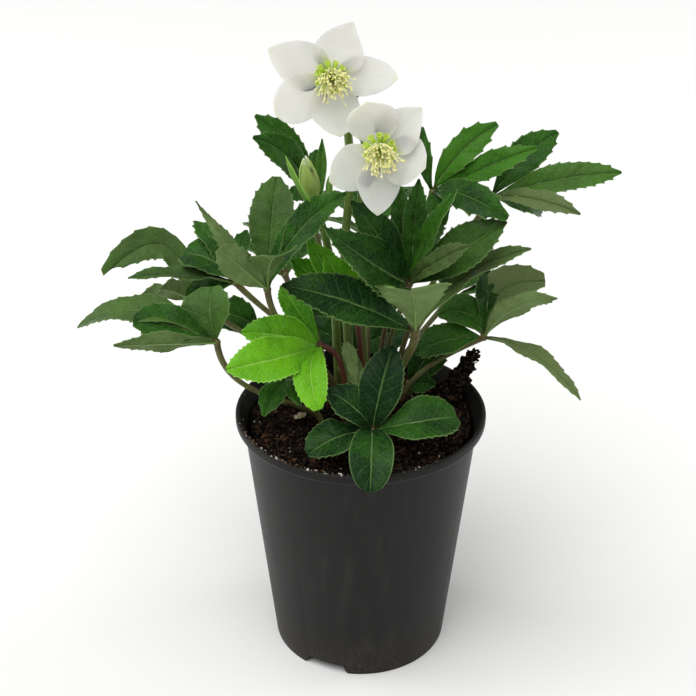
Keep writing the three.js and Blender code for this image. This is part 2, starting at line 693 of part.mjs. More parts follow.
for (const [name, row] of Object.entries(LEAVES)) {
  const { hub, foot, bend = {}, stalk = STALK_RADIUS } = row;
  const shaft = addStem(risingPath(foot, hub, bend), stalk, STALK_STEPS, STALK_SIDES);
  add(name, leaf(row, shaft), name.includes('young') ? YOUNG_GREEN : LEAF_GREEN);
}

for (const [name, bloom] of Object.entries(BLOOMS)) {
  const place = bloomPlace(bloom);
  const stemName = name.replace('bloom', 'scape');
  const row = SCAPES[stemName];
  const path = throughPath(row.foot, [...row.through, scapeEnd(COLLAR.bottom - CLEARANCE, place)]);
  add(stemName, scape(row, bloom, addStem(path, SCAPE_RADIUS, SCAPE_STEPS, SCAPE_SIDES)), STEM_GREEN);
  add(`${name}_tepals`, toGeometry(tepals(bloom).transform(place.elements)), TEPAL_WHITE);
  add(`${name}_nectaries`, toGeometry(nectaries().transform(place.elements)), NECTARY_GREEN);
  add(`${name}_stamens`, toGeometry(stamens().transform(place.elements)), STAMEN_CREAM);
}

const budPath = throughPath(BUD_SCAPE.foot, [...BUD_SCAPE.through, scapeEnd(-CLEARANCE, budPlace())]);
add('scape_bud', budScape(addStem(budPath, SCAPE_RADIUS, SCAPE_STEPS, SCAPE_SIDES)), STEM_GREEN);
add('bud_tepals', toGeometry(budTepals()), TEPAL_WHITE);

add('pot', pot(), PLASTIC);
add('soil', soil(stems), PEAT);

const middle = new THREE.Box3().setFromObject(plant).getCenter(new THREE.Vector3());
plant.position.set(-middle.x, -middle.y, 0);

export default plant;
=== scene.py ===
import math
import random

import bmesh
import bpy
from mathutils import Matrix, Vector, noise


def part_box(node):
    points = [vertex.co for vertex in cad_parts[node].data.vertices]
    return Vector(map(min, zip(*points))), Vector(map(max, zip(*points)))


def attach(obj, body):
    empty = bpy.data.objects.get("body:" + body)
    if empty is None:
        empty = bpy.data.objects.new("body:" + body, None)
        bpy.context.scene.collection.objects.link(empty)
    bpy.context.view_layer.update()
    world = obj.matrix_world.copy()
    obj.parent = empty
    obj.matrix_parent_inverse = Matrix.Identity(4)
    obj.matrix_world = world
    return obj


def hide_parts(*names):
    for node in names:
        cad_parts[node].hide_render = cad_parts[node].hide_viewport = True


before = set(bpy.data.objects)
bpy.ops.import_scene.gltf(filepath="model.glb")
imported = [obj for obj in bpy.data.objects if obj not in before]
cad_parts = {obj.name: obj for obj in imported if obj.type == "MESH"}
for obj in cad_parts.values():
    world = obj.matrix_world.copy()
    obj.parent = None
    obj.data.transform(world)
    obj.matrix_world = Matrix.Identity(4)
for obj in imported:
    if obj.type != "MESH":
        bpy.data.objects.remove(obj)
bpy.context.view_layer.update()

# ------------------------------------------------------------------ the studio
# A hellebore in flower in its nursery pot stands on a plain pale floor under wide soft lights. The plant
# is drawn in millimetres round the axis of its pot, and INTO_FRAME takes a piece from there to its place.

pot_low, pot_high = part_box("pot")
POT_AXIS = Vector(((pot_low.x + pot_high.x) / 2, (pot_low.y + pot_high.y) / 2, 0))
INTO_FRAME = Matrix.Translation(POT_AXIS) @ Matrix.Scale(0.001, 4)
WHOLE_TURN = 2 * math.pi

LENS = 78
CAMERA_AT = Vector((-7.1, -723.4, 586.8))
CAMERA_PITCH = 28.86
FLOOR_HALF = 6
FLOOR_COLOUR = (0.84, 0.84, 0.83, 1)
AIR_COLOUR = (1, 1, 1, 1)
AIR_LIGHT = 0.38
OVERHEAD_LIGHT = 2.35
OVERHEAD_SPREAD = math.radians(62)
OVERHEAD_LEAN = (math.radians(18), math.radians(-14), 0)
SIDE_LIGHTS = {
    "left_light": dict(place=(-1.5, 0.3, 0.7), width=1.0, power=9),
    "right_light": dict(place=(1.5, 0.4, 0.7), width=0.6, power=6.5),
}
SIDE_LIGHT_HEIGHT = 1.5
SIDE_LIGHT_AIM = Vector((0, 0, 0.15))

camera = bpy.data.objects.new("studio_camera", bpy.data.cameras.new("studio_camera"))
camera.data.lens = LENS
camera.location = INTO_FRAME @ CAMERA_AT
camera.rotation_euler = (math.radians(90 - CAMERA_PITCH), 0, 0)
bpy.context.collection.objects.link(camera)
bpy.context.scene.camera = camera
bpy.context.scene.view_settings.view_transform = "Standard"


def add_node(tree, kind, inputs=None, **settings):
    """Adds a shader node. Each input is a value, or another node's output that is linked to it."""
    made = tree.nodes.new(kind)
    for name, value in settings.items():
        setattr(made, name, value)
    for name, value in (inputs or {}).items():
        if isinstance(value, bpy.types.NodeSocket):
            tree.links.new(value, made.inputs[name])
        else:
            made.inputs[name].default_value = value
    return made


def new_material(name, **principled):
    """A material with its Principled BSDF, whose constants are given by socket name."""
    material = bpy.data.materials.new(name)
    material.use_nodes = True
    tree = material.node_tree
    tree.nodes.clear()
    shader = add_node(tree, "ShaderNodeBsdfPrincipled")
    for socket, value in principled.items():
        shader.inputs[socket.replace("_", " ")].default_value = value
    output = add_node(tree, "ShaderNodeOutputMaterial")
    tree.links.new(shader.outputs["BSDF"], output.inputs["Surface"])
    return material, tree, shader


world = bpy.data.worlds.new("studio_air")
world.use_nodes = True
world.node_tree.nodes["Background"].inputs["Color"].default_value = AIR_COLOUR
world.node_tree.nodes["Background"].inputs["Strength"].default_value = AIR_LIGHT
bpy.context.scene.world = world

overhead = bpy.data.lights.new("overhead_light", "SUN")
overhead.energy = OVERHEAD_LIGHT
overhead.angle = OVERHEAD_SPREAD
overhead_light = bpy.data.objects.new("overhead_light", overhead)
overhead_light.rotation_euler = OVERHEAD_LEAN
bpy.context.collection.objects.link(overhead_light)
for name, side in SIDE_LIGHTS.items():
    lamp = bpy.data.lights.new(name, "AREA")
    lamp.shape = "RECTANGLE"
    lamp.size = side["width"]
    lamp.size_y = SIDE_LIGHT_HEIGHT
    lamp.energy = side["power"]
    light = bpy.data.objects.new(name, lamp)
    light.location = side["place"]
    light.rotation_euler = (SIDE_LIGHT_AIM - light.location).to_track_quat("-Z", "Y").to_euler()
    bpy.context.collection.objects.link(light)

floor_mesh = bmesh.new()
bmesh.ops.create_grid(floor_mesh, x_segments=1, y_segments=1, size=FLOOR_HALF)
floor = bpy.data.objects.new("studio_floor", bpy.data.meshes.new("studio_floor"))
floor_mesh.to_mesh(floor.data)
floor_mesh.free()
bpy.context.collection.objects.link(floor)
floor_material, _, _ = new_material("floor_paper", Base_Color=FLOOR_COLOUR, Roughness=0.9)
floor.data.materials.append(floor_material)

# ------------------------------------------------------------------ the pot
# A thin nursery pot, moulded in one shot from charcoal plastic: a tapered wall, a rolled lip, a raised
# floor and a foot ring with three arched notches that let the water out.

POT_HEIGHT = 150
LIP_RADIUS = 70
FOOT_RADIUS = 50
WALL_TOP = 142
WALL_TOP_RADIUS = 65.4
WALL = 1.7
LIP_CORNER = 0.8
LIP_WIDTH = 2.2
LIP_UNDERSIDE = (2.2, 3.6)
FOOT_RING = 2.2
FOOT_INSET = 4
FLOOR_Z = 6.5
FLOOR_THICKNESS = 2
NOTCH_COUNT = 3
FIRST_NOTCH = -114
NOTCH_HALF = 13.5
NOTCH_SLOPE = 3
NOTCH_HEIGHT = 5.6
WALL_RING = 9
POT_SEGMENTS = 216
CORNER = 0.35
SHARP = math.radians(38)
CHARCOAL = (0.011, 0.0105, 0.01, 1)
CHARCOAL_WORN = (0.024, 0.023, 0.022, 1)
DUST = (0.12, 0.095, 0.07, 1)


def make_piece(name, bm, materials, nodes=()):
    """Turns a bmesh in millimetres round the pot's axis into a smooth piece of the frame."""
    for edge in bm.edges:
        edge.smooth = edge.calc_face_angle(0) < SHARP
    for face in bm.faces:
        face.smooth = True
    bmesh.ops.transform(bm, matrix=INTO_FRAME, verts=bm.verts)
    piece = bpy.data.objects.new(name, bpy.data.meshes.new(name))
    bm.to_mesh(piece.data)
    bm.free()
    for material in materials:
        piece.data.materials.append(material)
    bpy.context.collection.objects.link(piece)
    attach(piece, "root")
    if nodes:
        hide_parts(*nodes)


def smooth_step(value, low, high):
    """0 below low, 1 above high, and a smooth rise between them."""
    share = min(max((value - low) / (high - low), 0), 1)
    return share * share * (3 - 2 * share)


def notch_lift(angle):
    """Height of the notches' arch at an angle round the foot, 0 between the notches."""
    pitch = 360 / NOTCH_COUNT
    off = (math.degrees(angle) - FIRST_NOTCH + pitch / 2) % pitch - pitch / 2
    across = abs(math.radians(off)) * FOOT_RADIUS
    return NOTCH_HEIGHT * (1 - smooth_step(across, NOTCH_HALF - NOTCH_SLOPE, NOTCH_HALF))


def new_group(name, inputs, outputs):
    """A shader node group with float, vector or colour sockets, and its input and output nodes."""
    tree = bpy.data.node_groups.new(name, "ShaderNodeTree")
    for label, kind in inputs.items():
        tree.interface.new_socket(label, in_out="INPUT", socket_type=f"NodeSocket{kind}")
    for label, kind in outputs.items():
        tree.interface.new_socket(label, in_out="OUTPUT", socket_type=f"NodeSocket{kind}")
    return tree, add_node(tree, "NodeGroupInput"), add_node(tree, "NodeGroupOutput")


def use_group(tree, group, inputs):
    """Places a node group in a material with its own values."""
    made = tree.nodes.new("ShaderNodeGroup")
    made.node_tree = group
    for name, value in inputs.items():
        if isinstance(value, bpy.types.NodeSocket):
            tree.links.new(value, made.inputs[name])
        else:
            made.inputs[name].default_value = value
    return made


def calculate(tree, operation, first, second=0.0, third=0.0):
    """The output of a Math node."""
    return add_node(tree, "ShaderNodeMath", {0: first, 1: second, 2: third}, operation=operation).outputs[0]


def times(tree, first, second):
    return calculate(tree, "MULTIPLY", first, second)


def plus(tree, first, second):
    return calculate(tree, "ADD", first, second)


def minus(tree, first, second):
    return calculate(tree, "SUBTRACT", first, second)


def rise(tree, value, low, high):
    """0 below low, 1 above high, with a smooth rise between. It falls where low is the larger."""
    made = add_node(
        tree,
        "ShaderNodeMapRange",
        {"Value": value, "From Min": low, "From Max": high},
        interpolation_type="SMOOTHSTEP",
    )
    return made.outputs["Result"]


def blend_colours(tree, share, first, second):
    """first where share is 0 and second where it is 1."""
    made = add_node(tree, "ShaderNodeMix", {0: share, 6: first, 7: second}, data_type="RGBA")
    return made.outputs[2]


def relief(tree, shader, height, distance):
    """Gives the shader a bump of that real height, in metres."""
    bump = add_node(tree, "ShaderNodeBump", {"Height": height, "Distance": distance, "Strength": 1.0})
    tree.links.new(bump.outputs["Normal"], shader.inputs["Normal"])


def object_place(tree):
    """The place on the piece, in metres."""
    return add_node(tree, "ShaderNodeTexCoord").outputs["Object"]


def attribute(tree, name):
    return add_node(tree, "ShaderNodeAttribute", attribute_name=name).outputs["Fac"]


def stretched(tree, place, scale, turn=(0, 0, 0)):
    """A place turned and stretched, which draws a pattern out or squeezes it."""
    mapping = {"Vector": place, "Rotation": turn, "Scale": scale}
    return add_node(tree, "ShaderNodeMapping", mapping).outputs["Vector"]


# The mottling of every natural or worn surface: soft patches, and a finer grain on them.
mottle, mottle_in, mottle_out = new_group(
    "mottle",
    {"Place": "Vector", "Patch Scale": "Float", "Grain Scale": "Float"},
    {"Patches": "Float", "Grain": "Float"},
)
patch_noise = add_node(
    mottle,
    "ShaderNodeTexNoise",
    {"Vector": mottle_in.outputs["Place"], "Scale": mottle_in.outputs["Patch Scale"], "Detail": 3.0},
)
grain_noise = add_node(
    mottle,
    "ShaderNodeTexNoise",
    {"Vector": mottle_in.outputs["Place"], "Scale": mottle_in.outputs["Grain Scale"], "Detail": 5.0},
)
mottle.links.new(rise(mottle, patch_noise.outputs["Fac"], 0.32, 0.68), mottle_out.inputs["Patches"])
mottle.links.new(grain_noise.outputs["Fac"], mottle_out.inputs["Grain"])


def mottled(tree, place, patch_scale, grain_scale):
    """The patches and the grain of the mottling at those scales."""
    made = use_group(tree, mottle, {"Place": place, "Patch Scale": patch_scale, "Grain Scale": grain_scale})
    return made.outputs["Patches"], made.outputs["Grain"]


pot_plastic, tree, shader = new_material("pot_plastic", IOR=1.48, Specular_IOR_Level=0.16)
place = object_place(tree)
height = add_node(tree, "ShaderNodeSeparateXYZ", {0: place}).outputs["Z"]
patches, grain = mottled(tree, place, 22.0, 900.0)
streak_place = stretched(tree, place, (1, 1, 0.12))
streaks = add_node(tree, "ShaderNodeTexNoise", {"Vector": streak_place, "Scale": 160.0, "Detail": 4.0})
scuff_place = stretched(tree, place, (1, 1, 9), turn=(0.5, 0.9, 0.2))
scuffs = add_node(tree, "ShaderNodeTexNoise", {"Vector": scuff_place, "Scale": 75.0, "Detail": 2.0})
foot_dust = rise(tree, height, 0.035, 0.0)
lip_dust = times(tree, rise(tree, height, 0.1385, 0.143), 0.03)
dusty = calculate(tree, "MAXIMUM", foot_dust, lip_dust)
dust_share = times(tree, dusty, rise(tree, grain, 0.42, 0.72))
scuffed = times(tree, rise(tree, scuffs.outputs["Fac"], 0.66, 0.74), 0.5)
worn = times(tree, patches, rise(tree, streaks.outputs["Fac"], 0.4, 0.75))
plastic_colour = blend_colours(tree, calculate(tree, "MAXIMUM", worn, scuffed), CHARCOAL, CHARCOAL_WORN)
dusted_colour = blend_colours(tree, times(tree, dust_share, 0.45), plastic_colour, DUST)
tree.links.new(dusted_colour, shader.inputs["Base Color"])
dulled = calculate(tree, "MULTIPLY_ADD", calculate(tree, "MAXIMUM", dust_share, scuffed), 0.3, 0.46)
tree.links.new(plus(tree, dulled, times(tree, worn, 0.1)), shader.inputs["Roughness"])
relief(tree, shader, plus(tree, grain, streaks.outputs["Fac"]), 0.00006)


def draw_profile(bm, profile):
    """The vertices and edges of a chain through the [radius, height] points of a profile."""
    chain = [bm.verts.new((radius, 0, z)) for radius, z in profile]
    return chain, [bm.edges.new(pair) for pair in zip(chain, chain[1:])]


def spin_profile(bm, geom, segments):
    """Turns a profile once round +Z."""
    bmesh.ops.spin(
        bm,
        geom=geom,
        cent=(0, 0, 0),
        axis=(0, 0, 1),
        angle=WHOLE_TURN,
        steps=segments,
        use_merge=True,
    )


POT_PROFILE = [
    (FOOT_RADIUS - FOOT_INSET, FLOOR_Z),
    (FOOT_RADIUS - FOOT_RING, 0),
    (FOOT_RADIUS, 0),
    (WALL_TOP_RADIUS, WALL_TOP),
    (LIP_RADIUS - LIP_CORNER, WALL_TOP + LIP_UNDERSIDE[0]),
    (LIP_RADIUS, WALL_TOP + LIP_UNDERSIDE[1]),
    (LIP_RADIUS, POT_HEIGHT - LIP_CORNER),
    (LIP_RADIUS - LIP_CORNER, POT_HEIGHT),
    (LIP_RADIUS - LIP_WIDTH, POT_HEIGHT),
    (WALL_TOP_RADIUS - WALL, WALL_TOP - 1),
    (FOOT_RADIUS - WALL + 1, FLOOR_Z + FLOOR_THICKNESS),
]
pot_mesh = bmesh.new()
corners, _ = draw_profile(pot_mesh, POT_PROFILE)
bmesh.ops.bevel(
    pot_mesh, geom=corners[1:-1], offset=CORNER, segments=3, profile=0.5, affect="VERTICES", material=-1
)
for z, corner in ((FLOOR_Z, corners[0]), (FLOOR_Z + FLOOR_THICKNESS, corners[-1])):
    pot_mesh.edges.new((pot_mesh.verts.new((0, 0, z)), corner))
spin_profile(pot_mesh, pot_mesh.verts[:] + pot_mesh.edges[:], POT_SEGMENTS)
bmesh.ops.remove_doubles(pot_mesh, verts=pot_mesh.verts, dist=1e-3)
# A ring above the notches keeps the smooth shading of the wall clear of their edges.
bmesh.ops.bisect_plane(
    pot_mesh,
    geom=pot_mesh.verts[:] + pot_mesh.edges[:] + pot_mesh.faces[:],
    plane_co=(0, 0, WALL_RING),
    plane_no=(0, 0, 1),
)
for vertex in pot_mesh.verts:
    lift = notch_lift(math.atan2(vertex.co.y, vertex.co.x))
    if vertex.co.z < NOTCH_HEIGHT and vertex.co.to_2d().length > FOOT_RADIUS - FOOT_INSET:
        vertex.co.z = max(vertex.co.z, lift)
bmesh.ops.recalc_face_normals(pot_mesh, faces=pot_mesh.faces)
make_piece("nursery_pot", pot_mesh, [pot_plastic], ["pot"])

# ------------------------------------------------------------------ the soil
# Dark peat compost fills the pot nearly to the lip, crumbly on top, with bark fibres, white perlite and
# a few dry scraps in it. A heap of clods lies against the back of the rim.

SOIL_TOP = 142
SOIL_RADIUS = 61.5
SOIL_BOTTOM = 8.8
SOIL_RINGS = 56
SOIL_SEGMENTS = 240
HEAP = [(50, 21, 146, 9), (56, 22, 155, 7.5), (60, 24, 163, 5.5), (64, 25, 169, 4)]
CRUMB_COUNT = 1500
PERLITE_COUNT = 60
FIBRE_COUNT = 130
FIBRE_STEPS = 6
RIM_CRUMB_COUNT = 360
RIM_CRUMB_INSET = (0.7, 4.7)
RIM_CRUMB_MIDDLE = -112
LIP_SLOPE = 2.2
HEAP_CRUMB_COUNT = 16
PEAT_BLACK = (0.003, 0.0018, 0.0012, 1)
PEAT_BROWN = (0.06, 0.036, 0.021, 1)
BARK_RED = (0.09, 0.036, 0.018, 1)
PERLITE_WHITE = (0.72, 0.69, 0.62, 1)
FIBRE_BROWN = (0.2, 0.11, 0.055, 1)
SCRAP_STRAW = (0.5, 0.42, 0.24, 1)
SCRAP_RED = (0.22, 0.05, 0.03, 1)
SCRAPS = [
    dict(at=(-34, 0), half=(4, 2.5, 0.35), material=3),
    dict(at=(25, -57), half=(1.7, 1.2, 0.5), material=4),
]
SCRAP_SEED = 7
SPRIG_AT = (39, -46)
SPRIG_TIPS = [(3, 1.5, 5.5), (2.6, -0.5, 3)]


def soil_height(x, y):
    """Height of the rough soil, as the stalks stand in it."""
    crown = 4 * math.exp(-((x - 4) ** 2 + (y - 12) ** 2) / 700)
    return SOIL_TOP + crown + 1.1 * math.sin(x * 0.31 + y * 0.12) + 0.9 * math.sin(y * 0.37 - x * 0.17 + 1)


def crumbly(point, size):
    """How far the clods of peat stand out at a point, in millimetres."""
    clods = 0.5 - noise.voronoi(point * 0.28)[0][0]
    grit = noise.fractal(point * 0.35, 0.8, 2.2, 4)
    return size * (1.5 * clods + 0.9 * grit)


def crumb_height(x, y):
    return soil_height(x, y) + crumbly(Vector((x, y, 0)), 1)


def soil_material(name, dark, light, red):
    material, tree, shader = new_material(name, Roughness=0.95, Specular_IOR_Level=0.1)
    place = object_place(tree)
    patches, grain = mottled(tree, place, 520.0, 1900.0)
    flecks = add_node(tree, "ShaderNodeTexVoronoi", {"Vector": place, "Scale": 420.0})
    fleck_tint = add_node(tree, "ShaderNodeSeparateColor", {0: flecks.outputs["Color"]}).outputs[0]
    brown = rise(tree, times(tree, patches, grain), 0.2, 0.6)
    peat_colour = blend_colours(tree, brown, dark, light)
    with_bark = blend_colours(tree, rise(tree, fleck_tint, 0.95, 0.99), peat_colour, red)
    tree.links.new(with_bark, shader.inputs["Base Color"])
    relief(tree, shader, plus(tree, grain, patches), 0.0009)
    return material


peat = soil_material("peat", PEAT_BLACK, PEAT_BROWN, BARK_RED)
perlite_white = soil_material("perlite_white", PERLITE_WHITE, PERLITE_WHITE, PEAT_BROWN)
fibre_brown = soil_material("fibre_brown", FIBRE_BROWN, BARK_RED, PEAT_BROWN)
scrap_straw = soil_material("scrap_straw", SCRAP_STRAW, PERLITE_WHITE, PEAT_BROWN)
scrap_red = soil_material("scrap_red", SCRAP_RED, FIBRE_BROWN, PEAT_BROWN)

soil_mesh = bmesh.new()
radii = [SOIL_RADIUS * i / SOIL_RINGS for i in range(SOIL_RINGS + 1)]
points = [(radius, SOIL_TOP) for radius in radii] + [(FOOT_RADIUS - 3, SOIL_BOTTOM), (0, SOIL_BOTTOM)]
draw_profile(soil_mesh, points)
spin_profile(soil_mesh, soil_mesh.verts[:] + soil_mesh.edges[:], SOIL_SEGMENTS)
bmesh.ops.remove_doubles(soil_mesh, verts=soil_mesh.verts, dist=1e-3)
for vertex in soil_mesh.verts:
    if vertex.co.z > SOIL_BOTTOM + 1:
        vertex.co.z = crumb_height(vertex.co.x, vertex.co.y)
bmesh.ops.recalc_face_normals(soil_mesh, faces=soil_mesh.faces)
for x, y, z, radius in HEAP:
    lump = bmesh.ops.create_icosphere(
        soil_mesh, subdivisions=4, radius=radius, matrix=Matrix.Translation((x, y, z))
    )
    for vertex in lump["verts"]:
        out = (vertex.co - Vector((x, y, z))).normalized()
        vertex.co += out * (crumbly(vertex.co, 1.8) - 0.8)
make_piece("peat_compost", soil_mesh, [peat], ["soil"])


def give_material(verts, number):
    """Gives the faces round these vertices the piece's material of that number."""
    for face in {face for vertex in verts for face in vertex.link_faces}:
        face.material_index = number


def draw_size(draw, least, most, power):
    """A random size, which is seldom near the most where the power is high."""
    return least + (most - least) * draw.random() ** power


def scatter_place(draw, spread):
    """A random place on the soil, at most spread times its radius from the middle."""
    radius = SOIL_RADIUS * spread * math.sqrt(draw.random())
    angle = WHOLE_TURN * draw.random()
    x = radius * math.cos(angle)
    y = radius * math.sin(angle)
    return Vector((x, y, crumb_height(x, y)))


def add_grain(bm, centre, size, draw, material):
    """A small angular grain, turned and stretched at random."""
    turn = Matrix.Rotation(draw.uniform(0, WHOLE_TURN), 4, Vector((draw.random(), draw.random(), 1)))
    stretch = Matrix.Diagonal((draw.uniform(0.7, 1.3), draw.uniform(0.6, 1.1), draw.uniform(0.5, 0.9), 1))
    matrix = Matrix.Translation(centre) @ turn @ stretch
    grain = bmesh.ops.create_icosphere(bm, subdivisions=1, radius=size, matrix=matrix)
    for vertex in grain["verts"]:
        vertex.co += (vertex.co - centre) * draw.uniform(-0.3, 0.25)
    give_material(grain["verts"], material)


soil_draw = random.Random(4)
crumb_mesh = bmesh.new()
for _ in range(CRUMB_COUNT):
    size = draw_size(soil_draw, 0.5, 2.0, 3)
    add_grain(crumb_mesh, scatter_place(soil_draw, 1.0), size, soil_draw, 0)
for _ in range(PERLITE_COUNT):
    size = draw_size(soil_draw, 0.25, 0.75, 2)
    at = scatter_place(soil_draw, 0.98) + Vector((0, 0, 0.3))
    add_grain(crumb_mesh, at, size, soil_draw, 1)
for _ in range(RIM_CRUMB_COUNT):
    angle = math.radians(soil_draw.gauss(RIM_CRUMB_MIDDLE, 24))
    radius = LIP_RADIUS - draw_size(soil_draw, *RIM_CRUMB_INSET, 1.5)
    size = draw_size(soil_draw, 0.2, 0.95, 2)
    down = max(0, LIP_RADIUS - LIP_WIDTH - radius) * LIP_SLOPE
    at = Vector((radius * math.cos(angle), radius * math.sin(angle), POT_HEIGHT - down + size / 3))
    add_grain(crumb_mesh, at, size, soil_draw, soil_draw.choice((0, 0, 1, 2)))
for x, y, z, radius in HEAP:
    for _ in range(HEAP_CRUMB_COUNT):
        out = Vector((soil_draw.gauss(0, 1), soil_draw.gauss(0, 1), soil_draw.gauss(0, 1))).normalized()
        add_grain(crumb_mesh, Vector((x, y, z)) + out * radius, 0.6 + soil_draw.random(), soil_draw, 0)
noise.seed_set(SCRAP_SEED)  # noise_vector would differ in every run without it
for scrap in SCRAPS:
    at = Vector((*scrap["at"], crumb_height(*scrap["at"]) + 1))
    lean = Matrix.Rotation(soil_draw.uniform(-0.4, 0.4), 4, "X")
    turn = Matrix.Rotation(soil_draw.random(), 4, "Z")
    matrix = Matrix.Translation(at) @ lean @ turn @ Matrix.Diagonal((*scrap["half"], 1))
    flake = bmesh.ops.create_icosphere(crumb_mesh, subdivisions=3, radius=1, matrix=matrix)
    for vertex in flake["verts"]:
        vertex.co += noise.noise_vector(vertex.co * 0.45) * 0.9
    give_material(flake["verts"], scrap["material"])
make_piece("soil_crumbs", crumb_mesh, [peat, perlite_white, fibre_brown, scrap_straw, scrap_red])


def add_tube(bm, spine, widths, sides, material=0, tone=0.5):
    """A round tube along the points of a spine, with a radius at each point, closed at both ends."""
    rows = [spine[0], *spine, spine[-1]]
    radii = [0, *widths, 0]
    last = len(rows) - 1
    aside = (spine[1] - spine[0]).orthogonal()
    rings = []
    for i, centre in enumerate(rows):
        ahead = (rows[min(i + 2, last)] - rows[max(i - 2, 0)]).normalized()
        aside = (aside - ahead * aside.dot(ahead)).normalized()
        rings.append((centre, aside.copy(), aside.cross(ahead), radii[i]))
    verts = bmesh.ops.create_grid(bm, x_segments=last, y_segments=sides, size=0.5)["verts"]
    tone_layer = bm.verts.layers.float.get("tone")
    reach_layer = bm.verts.layers.float.get("reach")
    for vertex in verts:
        share = vertex.co.x + 0.5
        angle = WHOLE_TURN * (vertex.co.y + 0.5)
        centre, out, across, radius = rings[round(share * last)]
        vertex.co = centre + (out * math.cos(angle) + across * math.sin(angle)) * radius
        if tone_layer:
            vertex[tone_layer] = tone
            vertex[reach_layer] = share
    give_material(verts, material)
    bmesh.ops.remove_doubles(bm, verts=verts, dist=1e-4)


fibre_mesh = bmesh.new()
for _ in range(FIBRE_COUNT):
    start = scatter_place(soil_draw, 0.95) + Vector((0, 0, 0.5))
    heading = WHOLE_TURN * soil_draw.random()
    step = draw_size(soil_draw, 3, 12, 2) / FIBRE_STEPS
    spine = []
    for i in range(FIBRE_STEPS):
        heading += soil_draw.uniform(-0.5, 0.5)
        way = Vector((math.cos(heading), math.sin(heading), soil_draw.uniform(-0.12, 0.14)))
        start = start + way * step
        spine.append(start)
    thickness = soil_draw.uniform(0.12, 0.34)
    add_tube(fibre_mesh, spine, [thickness] * FIBRE_STEPS, 4)
sprig_foot = Vector((*SPRIG_AT, crumb_height(*SPRIG_AT) - 1))
for x, y, z in SPRIG_TIPS:
    spine = [sprig_foot + Vector((x * share, y * share**2, z * share)) for share in (0, 0.3, 0.6, 1)]
    add_tube(fibre_mesh, spine, [0.35, 0.32, 0.3, 0.4], 6, 1)
for vertex in fibre_mesh.verts:
    reach = vertex.co.to_2d().length
    if reach > SOIL_RADIUS:
        vertex.co.xy *= SOIL_RADIUS / reach
make_piece("soil_fibres", fibre_mesh, [fibre_brown, scrap_straw])

# ------------------------------------------------------------------ the leaves
# Leathery evergreen leaves, each with toothed leaflets that spread like fingers from the top of a round
# stalk. The leaflets are thin slabs with a sunken midrib above, a raised one below, and quilted veins.

LEAF_THICKNESS = 0.8
STALK_RADIUS = 1.7
SOCKET_DEPTH = 8
TOOTH_STEPS = (-0.25, -0.1, 0.15, 0.5, 1.0)
TOOTH_LEAST = 0.4
PLAIN_PITCH = 2.0
VEIN_PITCH = 6.5
VEIN_SLANT = 1.3
MIDRIB_RADIUS = 0.8
TIP_HALF = 0.4
COLUMN_CROWDING = 1.15
GROOVE_HALF = 0.8
MARGIN_THINNING = 0.4

LEAFLET = dict(
    slim=1.3, blunt=0.95, fold=12, cupped=1, base=1, columns=12, thickness=LEAF_THICKNESS, groove=0.3,
    toothed=0.66, pitch=4.4, tooth=0.032, quilt=0.4, crinkle=0.6, crinkle_size=4.5, wave=1.2,
)
DEEP_GREEN = (0.005, 0.026, 0.006, 1)
MID_GREEN = (0.045, 0.165, 0.01, 1)
# The grey green that pale blends in is partly an underside-like colour and partly painted sheen, the grey
# that reflected light gives some glossy upper faces.
GREY_UNDERSIDE_AND_SHEEN = (0.145, 0.185, 0.07, 1)
UNDER_GREEN = (0.083, 0.143, 0.036, 1)
UNDER_PALE = (0.23, 0.335, 0.125, 1)
VEIN_GREEN = (0.11, 0.2, 0.06, 1)
MARGIN_GREEN = (0.14, 0.23, 0.07, 1)
YOUNG_DEEP = (0.04, 0.2, 0.006, 1)
YOUNG_LIGHT = (0.16, 0.46, 0.012, 1)
YOUNG_VEIN = (0.32, 0.62, 0.1, 1)
YOUNG_UNDER = (0.2, 0.45, 0.08, 1)
STALK_OLIVE = (0.13, 0.145, 0.045, 1)
STALK_GREEN = (0.16, 0.28, 0.055, 1)
STALK_BROWN = (0.085, 0.045, 0.024, 1)
STALK_RED = (0.13, 0.04, 0.025, 1)

# Veins, their net, the pale margin and the height of it all, from the leaflet's own map: x counts the
# side veins along it and y runs from margin to margin.
leaf_pattern, pattern_in, pattern_out = new_group(
    "leaf_pattern",
    {"Surface": "Vector", "Place": "Vector"},
    {"Veins": "Float", "Net": "Float", "Margin": "Float", "Height": "Float"},
)
surface_xyz = add_node(leaf_pattern, "ShaderNodeSeparateXYZ", {0: pattern_in.outputs["Surface"]})
across_leaf = times(leaf_pattern, surface_xyz.outputs["Y"], 2.0)
from_midrib = calculate(leaf_pattern, "ABSOLUTE", minus(leaf_pattern, across_leaf, 1.0))
slanted = minus(leaf_pattern, surface_xyz.outputs["X"], times(leaf_pattern, from_midrib, VEIN_SLANT))
vein_phase = calculate(leaf_pattern, "FRACT", slanted)
off_vein = calculate(leaf_pattern, "ABSOLUTE", minus(leaf_pattern, vein_phase, 0.5))
near_vein = rise(leaf_pattern, times(leaf_pattern, off_vein, 2.0), 0.86, 0.98)
side_veins = times(leaf_pattern, near_vein, rise(leaf_pattern, from_midrib, 1.0, 0.55))
midrib = rise(leaf_pattern, from_midrib, 0.09, 0.03)
net_cells = add_node(
    leaf_pattern,
    "ShaderNodeTexVoronoi",
    {"Vector": pattern_in.outputs["Place"], "Scale": 420.0},
    feature="DISTANCE_TO_EDGE",
)
net = rise(leaf_pattern, net_cells.outputs["Distance"], 0.12, 0.02)
faint_veins = times(leaf_pattern, side_veins, 0.32)
all_veins = calculate(leaf_pattern, "MAXIMUM", faint_veins, midrib)
leaf_pattern.links.new(all_veins, pattern_out.inputs["Veins"])
leaf_pattern.links.new(net, pattern_out.inputs["Net"])
leaf_pattern.links.new(rise(leaf_pattern, from_midrib, 0.93, 0.99), pattern_out.inputs["Margin"])
sunken = plus(leaf_pattern, all_veins, times(leaf_pattern, net, 0.35))
